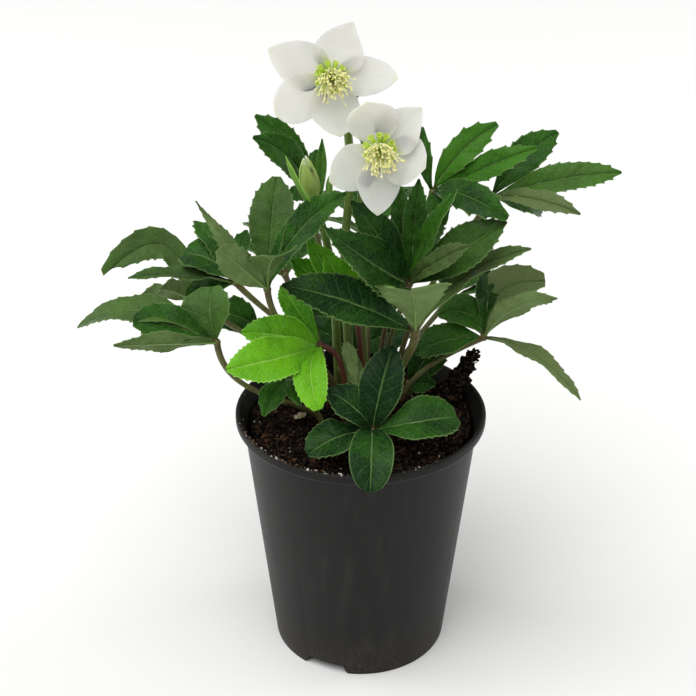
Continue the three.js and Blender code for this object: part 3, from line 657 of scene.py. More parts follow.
leaf_pattern.links.new(minus(leaf_pattern, 1.0, sunken), pattern_out.inputs["Height"])


def leaf_material(name, deep, light, vein, margin, vein_share, roughness, depth, scatter=0.0):
    """A leaf surface: tone takes a leaflet from deep to light, pale greys it, and its foot is brown."""
    material, tree, shader = new_material(
        name,
        IOR=1.42,
        Specular_IOR_Level=0.13,
        Subsurface_Weight=scatter,
        Subsurface_Radius=(0.3, 0.8, 0.15),
        Subsurface_Scale=0.0012,
    )
    place = object_place(tree)
    surface = add_node(tree, "ShaderNodeUVMap", uv_map="surface").outputs["UV"]
    pattern = use_group(tree, leaf_pattern, {"Surface": surface, "Place": place})
    patches, grain = mottled(tree, place, 55.0, 800.0)
    patch_tone = times(tree, minus(tree, patches, 0.5), 0.36)
    toned = plus(tree, attribute(tree, "tone"), patch_tone)
    share = plus(tree, toned, minus(tree, grain, 0.5))
    share.node.use_clamp = True
    green = blend_colours(tree, share, deep, light)
    # pale greys a leaflet: partly an underside-like colour, and partly painted sheen on glossy upper faces.
    blade_colour = blend_colours(tree, attribute(tree, "pale"), green, GREY_UNDERSIDE_AND_SHEEN)
    net_share = times(tree, pattern.outputs["Net"], vein_share * 0.1)
    veined = plus(tree, times(tree, pattern.outputs["Veins"], vein_share), net_share)
    veined_colour = blend_colours(tree, veined, blade_colour, vein)
    edged_colour = blend_colours(tree, times(tree, pattern.outputs["Margin"], 0.7), veined_colour, margin)
    foot = rise(tree, attribute(tree, "reach"), 0.1, 0.03)
    tree.links.new(blend_colours(tree, foot, edged_colour, STALK_BROWN), shader.inputs["Base Color"])
    tree.links.new(plus(tree, times(tree, grain, 0.22), roughness - 0.11), shader.inputs["Roughness"])
    relief(tree, shader, plus(tree, pattern.outputs["Height"], times(tree, grain, 0.35)), depth)
    return material


def stalk_material(name, middle, ends, blush):
    """The skin of a stalk: it takes the ends colour towards both ends, its own reddish brown on the leaf
    stalks, and on the flower stems an olive brown that is partly painted shade. It has fine lengthwise
    flecks.
    """
    material, tree, shader = new_material(
        name,
        IOR=1.42,
        Specular_IOR_Level=0.3,
        Subsurface_Weight=0.1,
        Subsurface_Radius=(0.5, 0.6, 0.2),
        Subsurface_Scale=0.001,
    )
    reach = attribute(tree, "reach")
    patches, grain = mottled(tree, stretched(tree, object_place(tree), (1, 1, 0.3)), 120.0, 1500.0)
    near_ends = calculate(tree, "MAXIMUM", rise(tree, reach, 0.45, 0.05), rise(tree, reach, 0.86, 1.0))
    flecked = calculate(tree, "MAXIMUM", near_ends, rise(tree, grain, 0.52, 0.66))
    share = plus(tree, times(tree, flecked, blush), times(tree, patches, 0.2))
    share.node.use_clamp = True
    tree.links.new(blend_colours(tree, share, middle, ends), shader.inputs["Base Color"])
    tree.links.new(calculate(tree, "MULTIPLY_ADD", grain, 0.2, 0.32), shader.inputs["Roughness"])
    relief(tree, shader, grain, 0.00012)
    return material


leaf_upper = leaf_material(
    "leaf_upper",
    DEEP_GREEN,
    MID_GREEN,
    VEIN_GREEN,
    MARGIN_GREEN,
    vein_share=0.8,
    roughness=0.28,
    depth=0.00035,
)
leaf_under = leaf_material(
    "leaf_under",
    UNDER_GREEN,
    UNDER_PALE,
    UNDER_PALE,
    MARGIN_GREEN,
    vein_share=0.6,
    roughness=0.5,
    depth=0.0003,
)
leaf_rib = stalk_material("leaf_rib", UNDER_PALE, STALK_GREEN, 0.5)
leaf_stalk = stalk_material("leaf_stalk", STALK_OLIVE, STALK_BROWN, 0.85)
young_upper = leaf_material(
    "young_upper",
    YOUNG_DEEP,
    YOUNG_LIGHT,
    YOUNG_VEIN,
    YOUNG_VEIN,
    vein_share=0.75,
    roughness=0.3,
    depth=0.0002,
    scatter=0.15,
)
young_under = leaf_material(
    "young_under",
    YOUNG_UNDER,
    YOUNG_VEIN,
    YOUNG_VEIN,
    YOUNG_VEIN,
    vein_share=0.7,
    roughness=0.5,
    depth=0.0002,
    scatter=0.15,
)
young_rib = stalk_material("young_rib", YOUNG_VEIN, YOUNG_UNDER, 0.5)
young_stalk = stalk_material("young_stalk", STALK_RED, STALK_BROWN, 0.95)
OLD_SKINS = [leaf_upper, leaf_under, leaf_rib, leaf_stalk]
YOUNG_SKINS = [young_upper, young_under, young_rib, young_stalk]
UPPER, UNDER, RIB, STALK = range(4)


def growing_mesh():
    """An empty bmesh with the layers that the plant's materials read."""
    bm = bmesh.new()
    bm.loops.layers.uv.new("surface")
    bm.verts.layers.float.new("tone")
    bm.verts.layers.float.new("pale")
    bm.verts.layers.float.new("reach")
    return bm


def direction(to, up):
    """The unit vector at a compass heading and a rise, both in degrees."""
    to, up = math.radians(to), math.radians(up)
    return Vector((math.cos(to) * math.cos(up), math.sin(to) * math.cos(up), math.sin(up)))


def outline(s, slim, blunt):
    """Width of a blade along its length, 1 at its widest and 0 at both ends."""
    widest = slim / (slim + blunt)
    return (s / widest) ** slim * ((1 - s) / (1 - widest)) ** blunt


def add_blade(bm, hub, facing, row, style, tone, draw):
    """A leaflet, bract or tepal: a flat slab, bent along its bow and drawn in to its outline.

    It starts at hub, points to a heading (to) and a rise, and has a length (long) and a width (wide).
    Its middle bows up by arch and to the left by sweep. roll turns it about its length, fold lifts both
    halves from the midrib, straight where cupped is 1 and hollow where it is more, and skew runs the
    left half on past the right. facing is the side that its upper face turns to. groove is the depth of
    the midrib. The share toothed of its length has teeth, pitch apart. quilt is the height of the
    swellings between its veins, crinkle that of its dents, and wave that of the waves in its margin.
    """
    row = {"arch": 0, "sweep": 0, "roll": 0, "skew": 0, "pale": 0, **style, **row}
    long, thickness, base, columns = row["long"], row["thickness"], row["base"], row["columns"]
    along = direction(row["to"], row["rise"])
    up = (facing - along * facing.dot(along)).normalized()
    left = up.cross(along)
    roll = math.radians(row["roll"])
    rolled_up = up * math.cos(roll) + left * math.sin(roll)
    rolled_left = left * math.cos(roll) - up * math.sin(roll)
    bow = rolled_up * row["arch"] + rolled_left * row["sweep"]
    fold = math.radians(row["fold"])
    wave_phase = draw.uniform(0, WHOLE_TURN)
    wave_count = draw.uniform(1.4, 2.4)
    vein_count = max(4, round(long / VEIN_PITCH))

    teeth = round(row["toothed"] * long / row["pitch"])
    plain = max(5, round((1 - row["toothed"]) * long / PLAIN_PITCH))
    tooth_stations = len(TOOTH_STEPS) * teeth
    stations = plain + tooth_stations
    depth = TOOTH_LEAST + row["tooth"] * row["wide"]
    tooth_depths = [[depth * draw.uniform(0.45, 1.25) for _ in range(teeth + 1)] for _ in range(2)]
    crinkle_seed = Vector((draw.uniform(0, 90), draw.uniform(0, 90), 0))

    stretch = []
    for i in range(stations + 1):
        if i <= plain:
            s = i / plain * (1 - row["toothed"])
        else:
            s = 1 - row["toothed"] * (stations - i) / tooth_stations
        tangent = (along * long + bow * (4 * (1 - 2 * s))).normalized()
        normal = (rolled_up - tangent * rolled_up.dot(tangent)).normalized()
        centre = hub + along * (long * s) + bow * (4 * s * (1 - s))
        least = TIP_HALF if s > 0.5 else base
        inner = min(max(s, 1e-4), 1 - 1e-4)
        half = max(row["wide"] / 2 * outline(inner, row["slim"], row["blunt"]), least)
        tooth, phase = divmod(max(i - plain, 0), len(TOOTH_STEPS))
        step = TOOTH_STEPS[phase] if plain < i < stations else 0
        stretch.append((s, centre, tangent, normal, normal.cross(tangent), half, step, tooth))

    grid = bmesh.ops.create_grid(bm, x_segments=stations, y_segments=columns, size=0.5)
    sheet = list({face for vertex in grid["verts"] for face in vertex.link_faces})
    slab = bmesh.ops.solidify(bm, geom=sheet, thickness=1)
    faces = list({*sheet, *(part for part in slab["geom"] if isinstance(part, bmesh.types.BMFace))})
    verts = list({vertex for face in faces for vertex in face.verts})
    faces = list({face for vertex in verts for face in vertex.link_faces})
    surface = bm.loops.layers.uv["surface"]
    tone_layer = bm.verts.layers.float["tone"]
    pale_layer = bm.verts.layers.float["pale"]
    reach_layer = bm.verts.layers.float["reach"]
    for face in faces:
        face.material_index = UPPER if min(vertex.co.z for vertex in face.verts) > -0.5 else UNDER
        for loop in face.loops:
            s = stretch[round((loop.vert.co.x + 0.5) * stations)][0]
            loop[surface].uv = (s * vein_count, loop.vert.co.y + 0.5)
    for vertex in verts:
        s, centre, tangent, normal, side, half, step, tooth = stretch[round((vertex.co.x + 0.5) * stations)]
        v = 2 * vertex.co.y
        v = math.copysign(abs(v) ** COLUMN_CROWDING, v)
        is_upper = vertex.co.z > -0.5
        reach = abs(v)
        across = v * half * math.cos(fold)
        across += math.copysign(reach**5 * step * tooth_depths[v > 0][tooth] * min(1, half / 4), v)
        lift = reach ** row["cupped"] * half * math.sin(fold)
        veins = abs(math.sin(math.pi * (s * vein_count - VEIN_SLANT * reach)))
        lift += row["quilt"] * veins * min(1, reach * 5) * (1 - reach**4)
        dent = Vector((s * long, v * half, 0)) / row["crinkle_size"]
        lift += row["crinkle"] * noise.noise(crinkle_seed + dent)
        wave = math.sin(wave_count * WHOLE_TURN * s + wave_phase + v) * math.sin(math.pi * s)
        lift += row["wave"] * wave * reach**2
        if is_upper:
            lift -= row["groove"] * math.exp(-((reach * half / GROOVE_HALF) ** 2))
        lift += (0.5 if is_upper else -0.5) * thickness * (1 - MARGIN_THINNING * reach**4)
        ahead = row["skew"] * v * long * s * s + reach**5 * max(step, 0) * row["pitch"] / len(TOOTH_STEPS)
        vertex.co = centre + side * across + normal * lift + tangent * ahead
        vertex[tone_layer] = tone
        vertex[pale_layer] = row["pale"]
        vertex[reach_layer] = s
    if row.get("ribbed", True):
        ribs = stretch[: -max(2, stations // 12) : 2]
        spine = [centre - normal * (thickness * 0.5) for _, centre, _, normal, *_ in ribs]
        widths = [MIDRIB_RADIUS * (0.2 + 0.8 * (1 - s) ** 1.5) for s, *_ in ribs]
        add_tube(bm, spine, widths, 6, RIB, tone)


def bezier(points, share):
    """A point on the cubic curve of four control points."""
    rest = 1 - share
    first, second, third, fourth = points
    return (
        first * rest**3
        + second * (3 * rest * rest * share)
        + third * (3 * rest * share * share)
        + fourth * share**3
    )


def rising_path(foot, top, slack=0.5, lean=0.3, neck=0.25):
    """A stalk's path from its socket in the soil to its top.

    It starts upright for the share slack of its height. Over its last stretch it rises by the share neck
    of its height and goes out by the share lean of its way outwards.
    """
    x, y = foot
    start = soil_height(x, y) - SOCKET_DEPTH
    height = top.z - start
    points = (
        Vector((x, y, start)),
        Vector((x, y, start + height * slack)),
        Vector((top.x + (x - top.x) * lean, top.y + (y - top.y) * lean, top.z - height * neck)),
        top,
    )
    return [bezier(points, i / 28) for i in range(29)]


LEAVES = {
    "leaf_left_tall": dict(
        hub=(-50, -6, 227), foot=(-10, 8), facing=(270, 75), bend=dict(lean=0.06, neck=0.4), tone=0.45,
        leaflets=[
            dict(to=208, rise=57, long=70, wide=9, arch=-3, slim=0.8, blunt=1.1, roll=-85, tone=0.5),
            dict(to=235, rise=45, long=54, wide=17, arch=-2, blunt=0.7, roll=-90, tone=0.6),
            dict(to=285, rise=46, long=50, wide=23, arch=6, blunt=0.4, tone=0.25),
            dict(to=80, rise=62, long=60, wide=24, arch=4, blunt=0.75, pale=0.25),
            dict(to=55, rise=60, long=46, wide=14, arch=2, roll=40),
            dict(to=3, rise=52, long=69, wide=19, arch=3, sweep=6, roll=-17, tone=0.3),
        ],
    ),
    "leaf_left_rear": dict(
        hub=(-69, 24, 216), foot=(-16, 22), facing=(250, 55), tone=0.35,
        leaflets=[
            dict(to=195, rise=10, long=60, wide=13, arch=4, roll=-26, pale=0.2),
            dict(to=165, rise=26, long=33, wide=27, arch=6, blunt=0.55, roll=-22),
            dict(to=133, rise=36, long=44, wide=18, arch=4, roll=-38),
            dict(to=80, rise=34, long=34, wide=11, arch=4),
            dict(to=176, rise=-26, long=34, wide=18, arch=4, roll=-8),
        ],
    ),
    "leaf_left_low": dict(
        hub=(-78, -8, 196), foot=(-20, 0), facing=(240, 55), tone=0.4,
        bend=dict(slack=0.4, lean=0.05, neck=0.7),
        leaflets=[
            dict(to=100, rise=62, long=30, wide=30, arch=4, fold=18, blunt=0.7, roll=10, tone=0.5, pale=0.2),
            dict(to=190, rise=21, long=47, wide=26, arch=4, blunt=0.65, roll=-12, tone=0.3),
            dict(to=207, rise=12, long=59, wide=15, arch=-4, sweep=5, roll=-90, tone=0.15),
            dict(to=171, rise=2, long=78, wide=24, arch=16, roll=-25, tone=0.55, pale=0.35),
        ],
    ),
    "leaf_left_drooping": dict(
        hub=(-96, 42, 196), foot=(-24, 14), facing=(240, 60), bend=dict(lean=0.4), tone=0.5,
        leaflets=[
            dict(
                to=190, rise=27, long=50, wide=19, arch=4, sweep=-24, roll=10, skew=-0.1,
                slim=0.6, blunt=0.45, pale=0.35,
            ),
            dict(to=195, rise=11, long=31, wide=15, arch=3, roll=-85),
            dict(to=240, rise=35, long=34, wide=14, arch=3, roll=-62),
        ],
    ),
    "leaf_young_front": dict(
        hub=(-22, -8, 194), foot=(-8, -2), facing=(250, 55), bend=dict(lean=1, neck=0.1), tone=0.7,
        style=dict(pitch=2.6, tooth=0.018),
        leaflets=[
            dict(to=188, rise=15, long=44, wide=23, arch=4, slim=1, blunt=0.9, roll=5, tone=0.45),
            dict(to=213, rise=3, long=58, wide=25, arch=6, slim=1.1, blunt=0.75, sweep=3, roll=17),
            dict(to=269, rise=-23, long=43, wide=18, arch=8, slim=0.9, blunt=0.55, sweep=-3, tone=0.95),
            dict(to=127, rise=30, long=43, wide=14, arch=4, tone=0.2),
        ],
    ),
    "leaf_young_rear": dict(
        hub=(-2, 2, 205), foot=(2, 8), facing=(270, 60), tone=0.35, style=dict(pitch=2.6, tooth=0.03),
        leaflets=[
            dict(to=174, rise=43, long=49, wide=22, arch=3),
            dict(to=180, rise=65, long=42, wide=20, arch=3),
            dict(to=168, rise=58, long=52, wide=16, arch=3),
        ],
    ),
    "leaf_middle": dict(
        hub=(26, 8, 223), foot=(12, 22), facing=(270, 50), tone=0.3,
        leaflets=[
            dict(to=207, rise=41, long=70, wide=31, arch=5, sweep=5, slim=0.75, blunt=1.3, tone=0.2),
            dict(to=195, rise=58, long=62, wide=20, arch=4, tone=0.2),
            dict(to=105, rise=62, long=57, wide=12, arch=3, tone=0.45),
            dict(to=76, rise=69, long=57, wide=13, arch=3, tone=0.5),
            dict(to=355, rise=67, long=61, wide=14, arch=2, roll=45, tone=0.8),
            dict(to=54, rise=38, long=41, wide=19, arch=3, roll=34, tone=0.8),
            dict(to=323, rise=42, long=50, wide=13, arch=4, tone=0.5, pale=0.5),
            dict(to=355, rise=38, long=64, wide=24, arch=5, sweep=-2, tone=0.35, pale=0.15),
        ],
    ),
    "leaf_front": dict(
        hub=(29, -14, 205), foot=(15, 4), facing=(90, 82), stalk=2.3, bend=dict(lean=0.08), tone=0.4,
        leaflets=[
            dict(to=262, rise=52, long=53, wide=38, arch=6, slim=1.2, blunt=0.35, skew=0.3, tone=0.6),
            dict(to=16, rise=33, long=76, wide=17, arch=4, sweep=9, roll=-13, pale=0.5),
            dict(to=183, rise=23, long=77, wide=29, arch=6, roll=38, tone=0.1),
        ],
    ),
    # The broad pale leaflet here, the one to 34, is greyed with painted sheen: the grey of light reflected
    # from its glossy upper face.
    "leaf_right_low": dict(
        hub=(69, 20, 184), foot=(22, 14), facing=(300, 62), bend=dict(lean=0.55), tone=0.6,
        leaflets=[
            dict(to=318, rise=-12.5, long=68, wide=14, arch=8, slim=1, roll=15, pale=0.75),
            dict(to=176, rise=-17, long=40, wide=25, arch=4, roll=-8, tone=0.5),
            dict(to=148, rise=11, long=30, wide=24, arch=5, sweep=-6, roll=5, tone=0.55),
            dict(to=329, rise=40, long=55, wide=16, arch=4, sweep=-5, roll=84),
            dict(to=34, rise=28, long=49, wide=28, arch=6, slim=1.1, blunt=0.6, sweep=11, roll=26, pale=0.75),
            dict(to=84, rise=34, long=44, wide=15, arch=4, tone=0.2),
        ],
    ),
    "leaf_upper_right": dict(
        hub=(39, 38, 264), foot=(10, 32), facing=(270, 45), tone=0.5,
        style=dict(pitch=7.5, tooth=0.075, toothed=0.7),
        leaflets=[
            dict(to=114, rise=65, long=36, wide=9, arch=2, sweep=2, tone=0.4),
            dict(to=10, rise=47, long=51, wide=16, arch=4, sweep=3, tone=1.0),
            dict(to=352, rise=28, long=62, wide=14, arch=3, tone=0.9),
            dict(to=315, rise=1, long=53, wide=18, arch=10, tone=0.3),
            dict(to=284, rise=-38, long=21, wide=13, arch=5),
        ],
    ),
    "leaf_right_tall": dict(
        hub=(71, 40, 260), foot=(20, 32), facing=(275, 48), tone=0.5,
        style=dict(pitch=5.5, tooth=0.035),
        leaflets=[
            dict(to=34, rise=32, long=54, wide=19, arch=4, sweep=2, tone=0.35),
            dict(to=0, rise=12, long=72, wide=17, arch=7, tone=0.7, pale=0.2),
            dict(to=321, rise=6, long=57, wide=12, arch=7, pale=0.7),
            dict(to=39, rise=-25, long=46, wide=16, arch=4),
        ],
    ),
    "leaf_rosette": dict(
        hub=(6, -34, 156), foot=(6, -22), facing=(270, 70), bend=dict(slack=0.6), tone=0.3,
        style=dict(pitch=3, tooth=0.015),
        leaflets=[
            dict(to=0, rise=11, long=46, wide=30, arch=5, slim=1.2, blunt=0.5, sweep=-3, tone=0.35),
            dict(to=61, rise=61, long=47, wide=24, arch=5, slim=1, blunt=0.8, tone=-0.3),
            dict(to=171, rise=42, long=34, wide=23, arch=5, tone=0.1),
            dict(to=210, rise=-3, long=40, wide=23, arch=5, blunt=0.7, tone=0.1),
            dict(to=268, rise=-11, long=47, wide=24, arch=11, slim=0.9, blunt=0.48, tone=0.14, toothed=0),
        ],
    ),
    "leaf_small_front": dict(
        hub=(-38, -6, 173), foot=(-20, -10), facing=(250, 60), tone=0.5,
        leaflets=[
            dict(to=245, rise=-11, long=34, wide=15, arch=5),
            dict(to=280, rise=0, long=30, wide=11, arch=4),
        ],
    ),
    "leaf_upper_left": dict(
        hub=(-29, 52, 255), foot=(-12, 42), facing=(270, 50), tone=0.4,
        leaflets=[
            dict(to=157, rise=54, long=54, wide=18, arch=4, sweep=-4),
            dict(to=202, rise=52, long=51, wide=18, arch=5, sweep=-5),
            dict(to=80, rise=35, long=32, wide=10, arch=3),
            dict(to=240, rise=16, long=26, wide=10, arch=4),
        ],
    ),
    "leaf_small_left": dict(
        hub=(-57, 50, 173), foot=(-20, 32), facing=(270, 50), tone=0.4,
        leaflets=[
            dict(to=176, rise=24, long=27, wide=22, arch=4, blunt=0.6),
            dict(to=252, rise=8, long=18, wide=14, arch=4),
        ],
    ),
    "leaf_small_right": dict(
        hub=(28, 25, 151), foot=(29, 27), facing=(270, 40), tone=0.25,
        leaflets=[
            dict(to=28, rise=52, long=28, wide=22, arch=3, blunt=0.6),
            dict(to=322, rise=18, long=19, wide=12, arch=3),
        ],
    ),
    "leaf_small_middle": dict(
        hub=(-2, -8, 167), foot=(1, -10), facing=(90, 10), tone=0.9,
        style=dict(pitch=3, tooth=0.015),
        leaflets=[
            dict(to=128, rise=50, long=18, wide=14, arch=3, blunt=0.6),
            dict(to=165, rise=77, long=29, wide=8, arch=2, blunt=0.7),
        ],
    ),
    "leaf_back_left": dict(
        hub=(-44, 74, 196), foot=(-20, 44), facing=(90, 70), bend=dict(slack=0.7), tone=0.4,
        leaflets=[
            dict(to=40, rise=22, long=46, wide=17, arch=4),
            dict(to=80, rise=12, long=58, wide=20, arch=7),
            dict(to=115, rise=8, long=62, wide=21, arch=9),
            dict(to=150, rise=4, long=56, wide=19, arch=8),
            dict(to=190, rise=8, long=40, wide=16, arch=4),
        ],
    ),
    "leaf_back_middle": dict(
        hub=(6, 84, 214), foot=(4, 42), facing=(90, 70), tone=0.45,
        leaflets=[
            dict(to=20, rise=8, long=50, wide=18, arch=6),
            dict(to=55, rise=14, long=58, wide=20, arch=8),
            dict(to=90, rise=10, long=64, wide=22, arch=10),
            dict(to=125, rise=12, long=56, wide=19, arch=8),
            dict(to=165, rise=12, long=42, wide=16, arch=5),
        ],
    ),
    "leaf_back_right": dict(
        hub=(52, 70, 182), foot=(18, 42), facing=(60, 68), tone=0.4,
        leaflets=[
            dict(to=5, rise=-8, long=46, wide=19, arch=7),
            dict(to=38, rise=-6, long=58, wide=21, arch=9),
            dict(to=70, rise=0, long=58, wide=20, arch=8),
            dict(to=105, rise=10, long=44, wide=17, arch=5),
        ],
    ),
    "leaf_back_low": dict(
        hub=(-4, 58, 153), foot=(-4, 50), facing=(270, 52), tone=0.3,
        leaflets=[
            dict(to=2, rise=26, long=40, wide=24, arch=6),
            dict(to=50, rise=36, long=44, wide=22, arch=6),
            dict(to=96, rise=58, long=40, wide=22, arch=4),
            dict(to=135, rise=28, long=46, wide=20, arch=6),
            dict(to=162, rise=24, long=37, wide=17, arch=6),
        ],
    ),
}

for leaf_number, (name, leaf) in enumerate(LEAVES.items()):
    draw = random.Random(leaf_number + 20)
    bm = growing_mesh()
    hub = Vector(leaf["hub"])
    stalk_radius = leaf.get("stalk", STALK_RADIUS)
    path = rising_path(leaf["foot"], hub, **leaf.get("bend", {}))
    shares = [i / (len(path) - 1) for i in range(len(path))]
    widths = [stalk_radius * (1.1 - 0.25 * math.sin(math.pi * share)) for share in shares]
    add_tube(bm, path, widths, 12, STALK)
    style = {**LEAFLET, **leaf.get("style", {})}
    knob = bmesh.ops.create_icosphere(
        bm, subdivisions=3, radius=stalk_radius + 0.5, matrix=Matrix.Translation(hub)
    )
    for vertex in knob["verts"]:
        vertex[bm.verts.layers.float["reach"]] = 0.9
    give_material(knob["verts"], STALK)
    for row in leaf["leaflets"]:
        tone = row.get("tone", leaf["tone"]) + draw.uniform(-0.08, 0.08)
        add_blade(bm, hub, direction(*leaf["facing"]), row, style, tone, draw)
    if "young" in name:
        make_piece(f"{name}_grown", bm, YOUNG_SKINS, [name])
    else:
        make_piece(f"{name}_grown", bm, OLD_SKINS, [name])

# ------------------------------------------------------------------ the blooms
# Each bloom has five broad white tepals with a satin, faintly veined face, a ring of small lime nectar
# cups, a brush of cream stamens round them, and a few slender styles.

TEPAL_THICKNESS = 0.7
TEPAL_START = 2.5
TEPAL_ARCH = -3
TEPAL_ROLL = 9
COLLAR_RADIUS = 4
COLLAR_BOTTOM = -1
COLLAR_TOP = 2.3
NECTARY_COUNT = 11
NECTARY_LEAN = 60
NECTARY_OUT = 3.6
NECTARY_SEAT = 3.0
STAMEN_COUNT = 84
STAMEN_SEAT = 3.9
STAMEN_STEPS = 5
STAMEN_SAG = 4.2
STAMEN_WIDTHS = (0.28, 0.25, 0.23, 0.22, 0.2, 0.18)
ANTHER_HALF = (0.62, 0.45, 1.0)
STYLE_COUNT = 4
STYLE_LEAN = 7
STYLE_OUT = 0.9
STYLE_SEAT = 3.2
GOLDEN_ANGLE = 137.5
TEPAL = dict(
    slim=0.6, blunt=0.62, fold=8, cupped=2.2, base=2, columns=18, thickness=TEPAL_THICKNESS, groove=0.1,
    toothed=0, pitch=1, tooth=0, quilt=0, crinkle=0.45, crinkle_size=11, wave=0.8, ribbed=False,
)
TEPAL_WHITE = (0.69, 0.67, 0.585, 1)
TEPAL_VEIN = (0.6, 0.59, 0.51, 1)
TEPAL_TIP = (0.6, 0.63, 0.38, 1)
TEPAL_HEART = (0.36, 0.5, 0.1, 1)
NECTARY_LIME = (0.36, 0.58, 0.04, 1)
NECTARY_PALE = (0.55, 0.74, 0.14, 1)
FILAMENT_CREAM = (0.87, 0.86, 0.42, 1)
ANTHER_CREAM = (0.88, 0.8, 0.27, 1)

BLOOMS = {
    "bloom_high": dict(
        centre=(-16, 20, 335), facing=(275, 24),
        tepals=[
            dict(to=66, rise=14, long=28, wide=27, sweep=1, slim=0.5, blunt=0.95),
            dict(to=155, rise=10, long=33, wide=25, slim=0.4, blunt=0.75),
            dict(to=212, rise=12, long=33, wide=24, slim=0.6, blunt=0.55),
            dict(to=276, rise=16, long=29, wide=27, slim=0.5, blunt=0.65),
            dict(to=357, rise=12, long=32, wide=21, sweep=1.5, slim=0.5, blunt=0.65),
        ],
    ),
    "bloom_low": dict(
        centre=(9, -8, 307), facing=(266, 20),
        tepals=[
            dict(to=106, rise=18, long=23, wide=27, slim=0.6, blunt=0.5),
            dict(to=46, rise=14, long=28, wide=24, slim=0.4, blunt=0.9),
            dict(to=340, rise=14, long=23, wide=27),
            dict(to=270, rise=10, long=31, wide=23, slim=0.5, blunt=0.75),
            dict(to=214, rise=14, long=28, wide=24, sweep=1, slim=0.5, blunt=0.65),
        ],
    ),
}


def petal_material(name, white, vein, heart, tip):
    """The satin face of a tepal: faint veins run its length, and its foot and tip are tinted."""
    material, tree, shader = new_material(
        name,
        IOR=1.4,
        Specular_IOR_Level=0.3,
        Subsurface_Weight=1.0,
        Subsurface_Radius=(1.0, 0.95, 0.85),
        Subsurface_Scale=0.006,
    )
    surface = add_node(tree, "ShaderNodeUVMap", uv_map="surface").outputs["UV"]
    surface_xyz = add_node(tree, "ShaderNodeSeparateXYZ", {0: surface})
    reach = attribute(tree, "reach")
    patches, grain = mottled(tree, object_place(tree), 110.0, 1100.0)
    wandering = plus(tree, surface_xyz.outputs["Y"], times(tree, patches, 0.05))
    veins = rise(tree, calculate(tree, "SINE", times(tree, wandering, 90.0)), 0.3, 1.0)
    greyed = times(tree, rise(tree, grain, 0.5, 0.75), 0.12)
    vein_share = calculate(tree, "MAXIMUM", times(tree, veins, 0.08), greyed)
    veined = blend_colours(tree, vein_share, white, vein)
    tipped = blend_colours(tree, times(tree, rise(tree, reach, 0.88, 1.0), 0.7), veined, tip)
    hearted = blend_colours(tree, times(tree, rise(tree, reach, 0.26, 0.02), 0.9), tipped, heart)
    tree.links.new(hearted, shader.inputs["Base Color"])
    tree.links.new(calculate(tree, "MULTIPLY_ADD", grain, 0.2, 0.42), shader.inputs["Roughness"])
    relief(tree, shader, plus(tree, times(tree, veins, 0.3), grain), 0.00003)
    return material


def soft_material(name, first, second, roughness):
    """A small fleshy part, such as a nectar cup or a stamen: first at its foot and second at its tip."""
    material, tree, shader = new_material(
        name,
        IOR=1.4,
        Roughness=roughness,
        Subsurface_Weight=0.6,
        Subsurface_Radius=(0.9, 1.0, 0.4),
        Subsurface_Scale=0.002,
    )
    patches, grain = mottled(tree, object_place(tree), 700.0, 3500.0)
    shaded = times(tree, minus(tree, patches, 0.5), 0.4)
    share = plus(tree, attribute(tree, "reach"), shaded)
    share.node.use_clamp = True
    tree.links.new(blend_colours(tree, share, first, second), shader.inputs["Base Color"])
    relief(tree, shader, grain, 0.0001)
    return material


tepal_white = petal_material("tepal_white", TEPAL_WHITE, TEPAL_VEIN, TEPAL_HEART, TEPAL_TIP)
nectary_lime = soft_material("nectary_lime", NECTARY_LIME, NECTARY_PALE, 0.35)
filament_cream = soft_material("filament_cream", FILAMENT_CREAM, FILAMENT_CREAM, 0.5)
anther_cream = soft_material("anther_cream", ANTHER_CREAM, FILAMENT_CREAM, 0.8)


def bloom_place(bloom):
    """Where a bloom sits: +Z along its axis, +X to its right as it is looked at."""
    axis = direction(*bloom["facing"])
    right = Vector((0, 0, 1)).cross(axis).normalized()
    turned = Matrix((right, axis.cross(right), axis)).transposed().to_4x4()
    return Matrix.Translation(bloom["centre"]) @ turned


def add_turned(bm, profile, segments, matrix, reaches=None):
    """A body turned about +Z from its [radius, height] profile, whose points have their own reaches."""
    reach_layer = bm.verts.layers.float["reach"]
    old = set(bm.verts)
    chain, edges = draw_profile(bm, profile)
    for i, vertex in enumerate(chain):
        vertex[reach_layer] = reaches[i] if reaches else i / (len(chain) - 1)
    spin_profile(bm, chain + edges, segments)
    made = [vertex for vertex in bm.verts if vertex not in old]
    bmesh.ops.remove_doubles(bm, verts=made, dist=1e-4)
    made = [vertex for vertex in bm.verts if vertex not in old]
    bmesh.ops.recalc_face_normals(bm, faces=list({face for vertex in made for face in vertex.link_faces}))
    give_material(made, 0)
    bmesh.ops.transform(bm, matrix=matrix, verts=made)


def leaned(turn, tilt, start, base):
    """Leans an upright piece by tilt from the bloom's axis, with its foot out by start towards turn."""
    return (
        Matrix.Rotation(math.radians(turn), 4, "Z")
        @ Matrix.Translation((start, 0, base))
        @ Matrix.Rotation(math.radians(tilt), 4, "Y")
    )


COLLAR_PROFILE = [
    (0, COLLAR_BOTTOM), (COLLAR_RADIUS, COLLAR_BOTTOM), (COLLAR_RADIUS, COLLAR_TOP), (0, COLLAR_TOP),
]
CUP_PROFILE = [
    (0, 0), (0.8, 0), (1.0, 1.7), (1.5, 4.1), (1.85, 5.0), (1.6, 4.9), (1.15, 3.6), (0.6, 1.9), (0, 1.5),
]
CUP_REACHES = [0, 0, 0.3, 0.8, 1, 0.9, 0.4, 0.1, 0]
STYLE_PROFILE = [(0, 0), (0.7, 0), (0.55, 4), (0.38, 9), (0.5, 10), (0, 10.3)]
DISC_PROFILE = [(0, 2.6), (4.4, 2.6), (4.6, 3.2), (3.6, 3.7), (0, 4.6)]

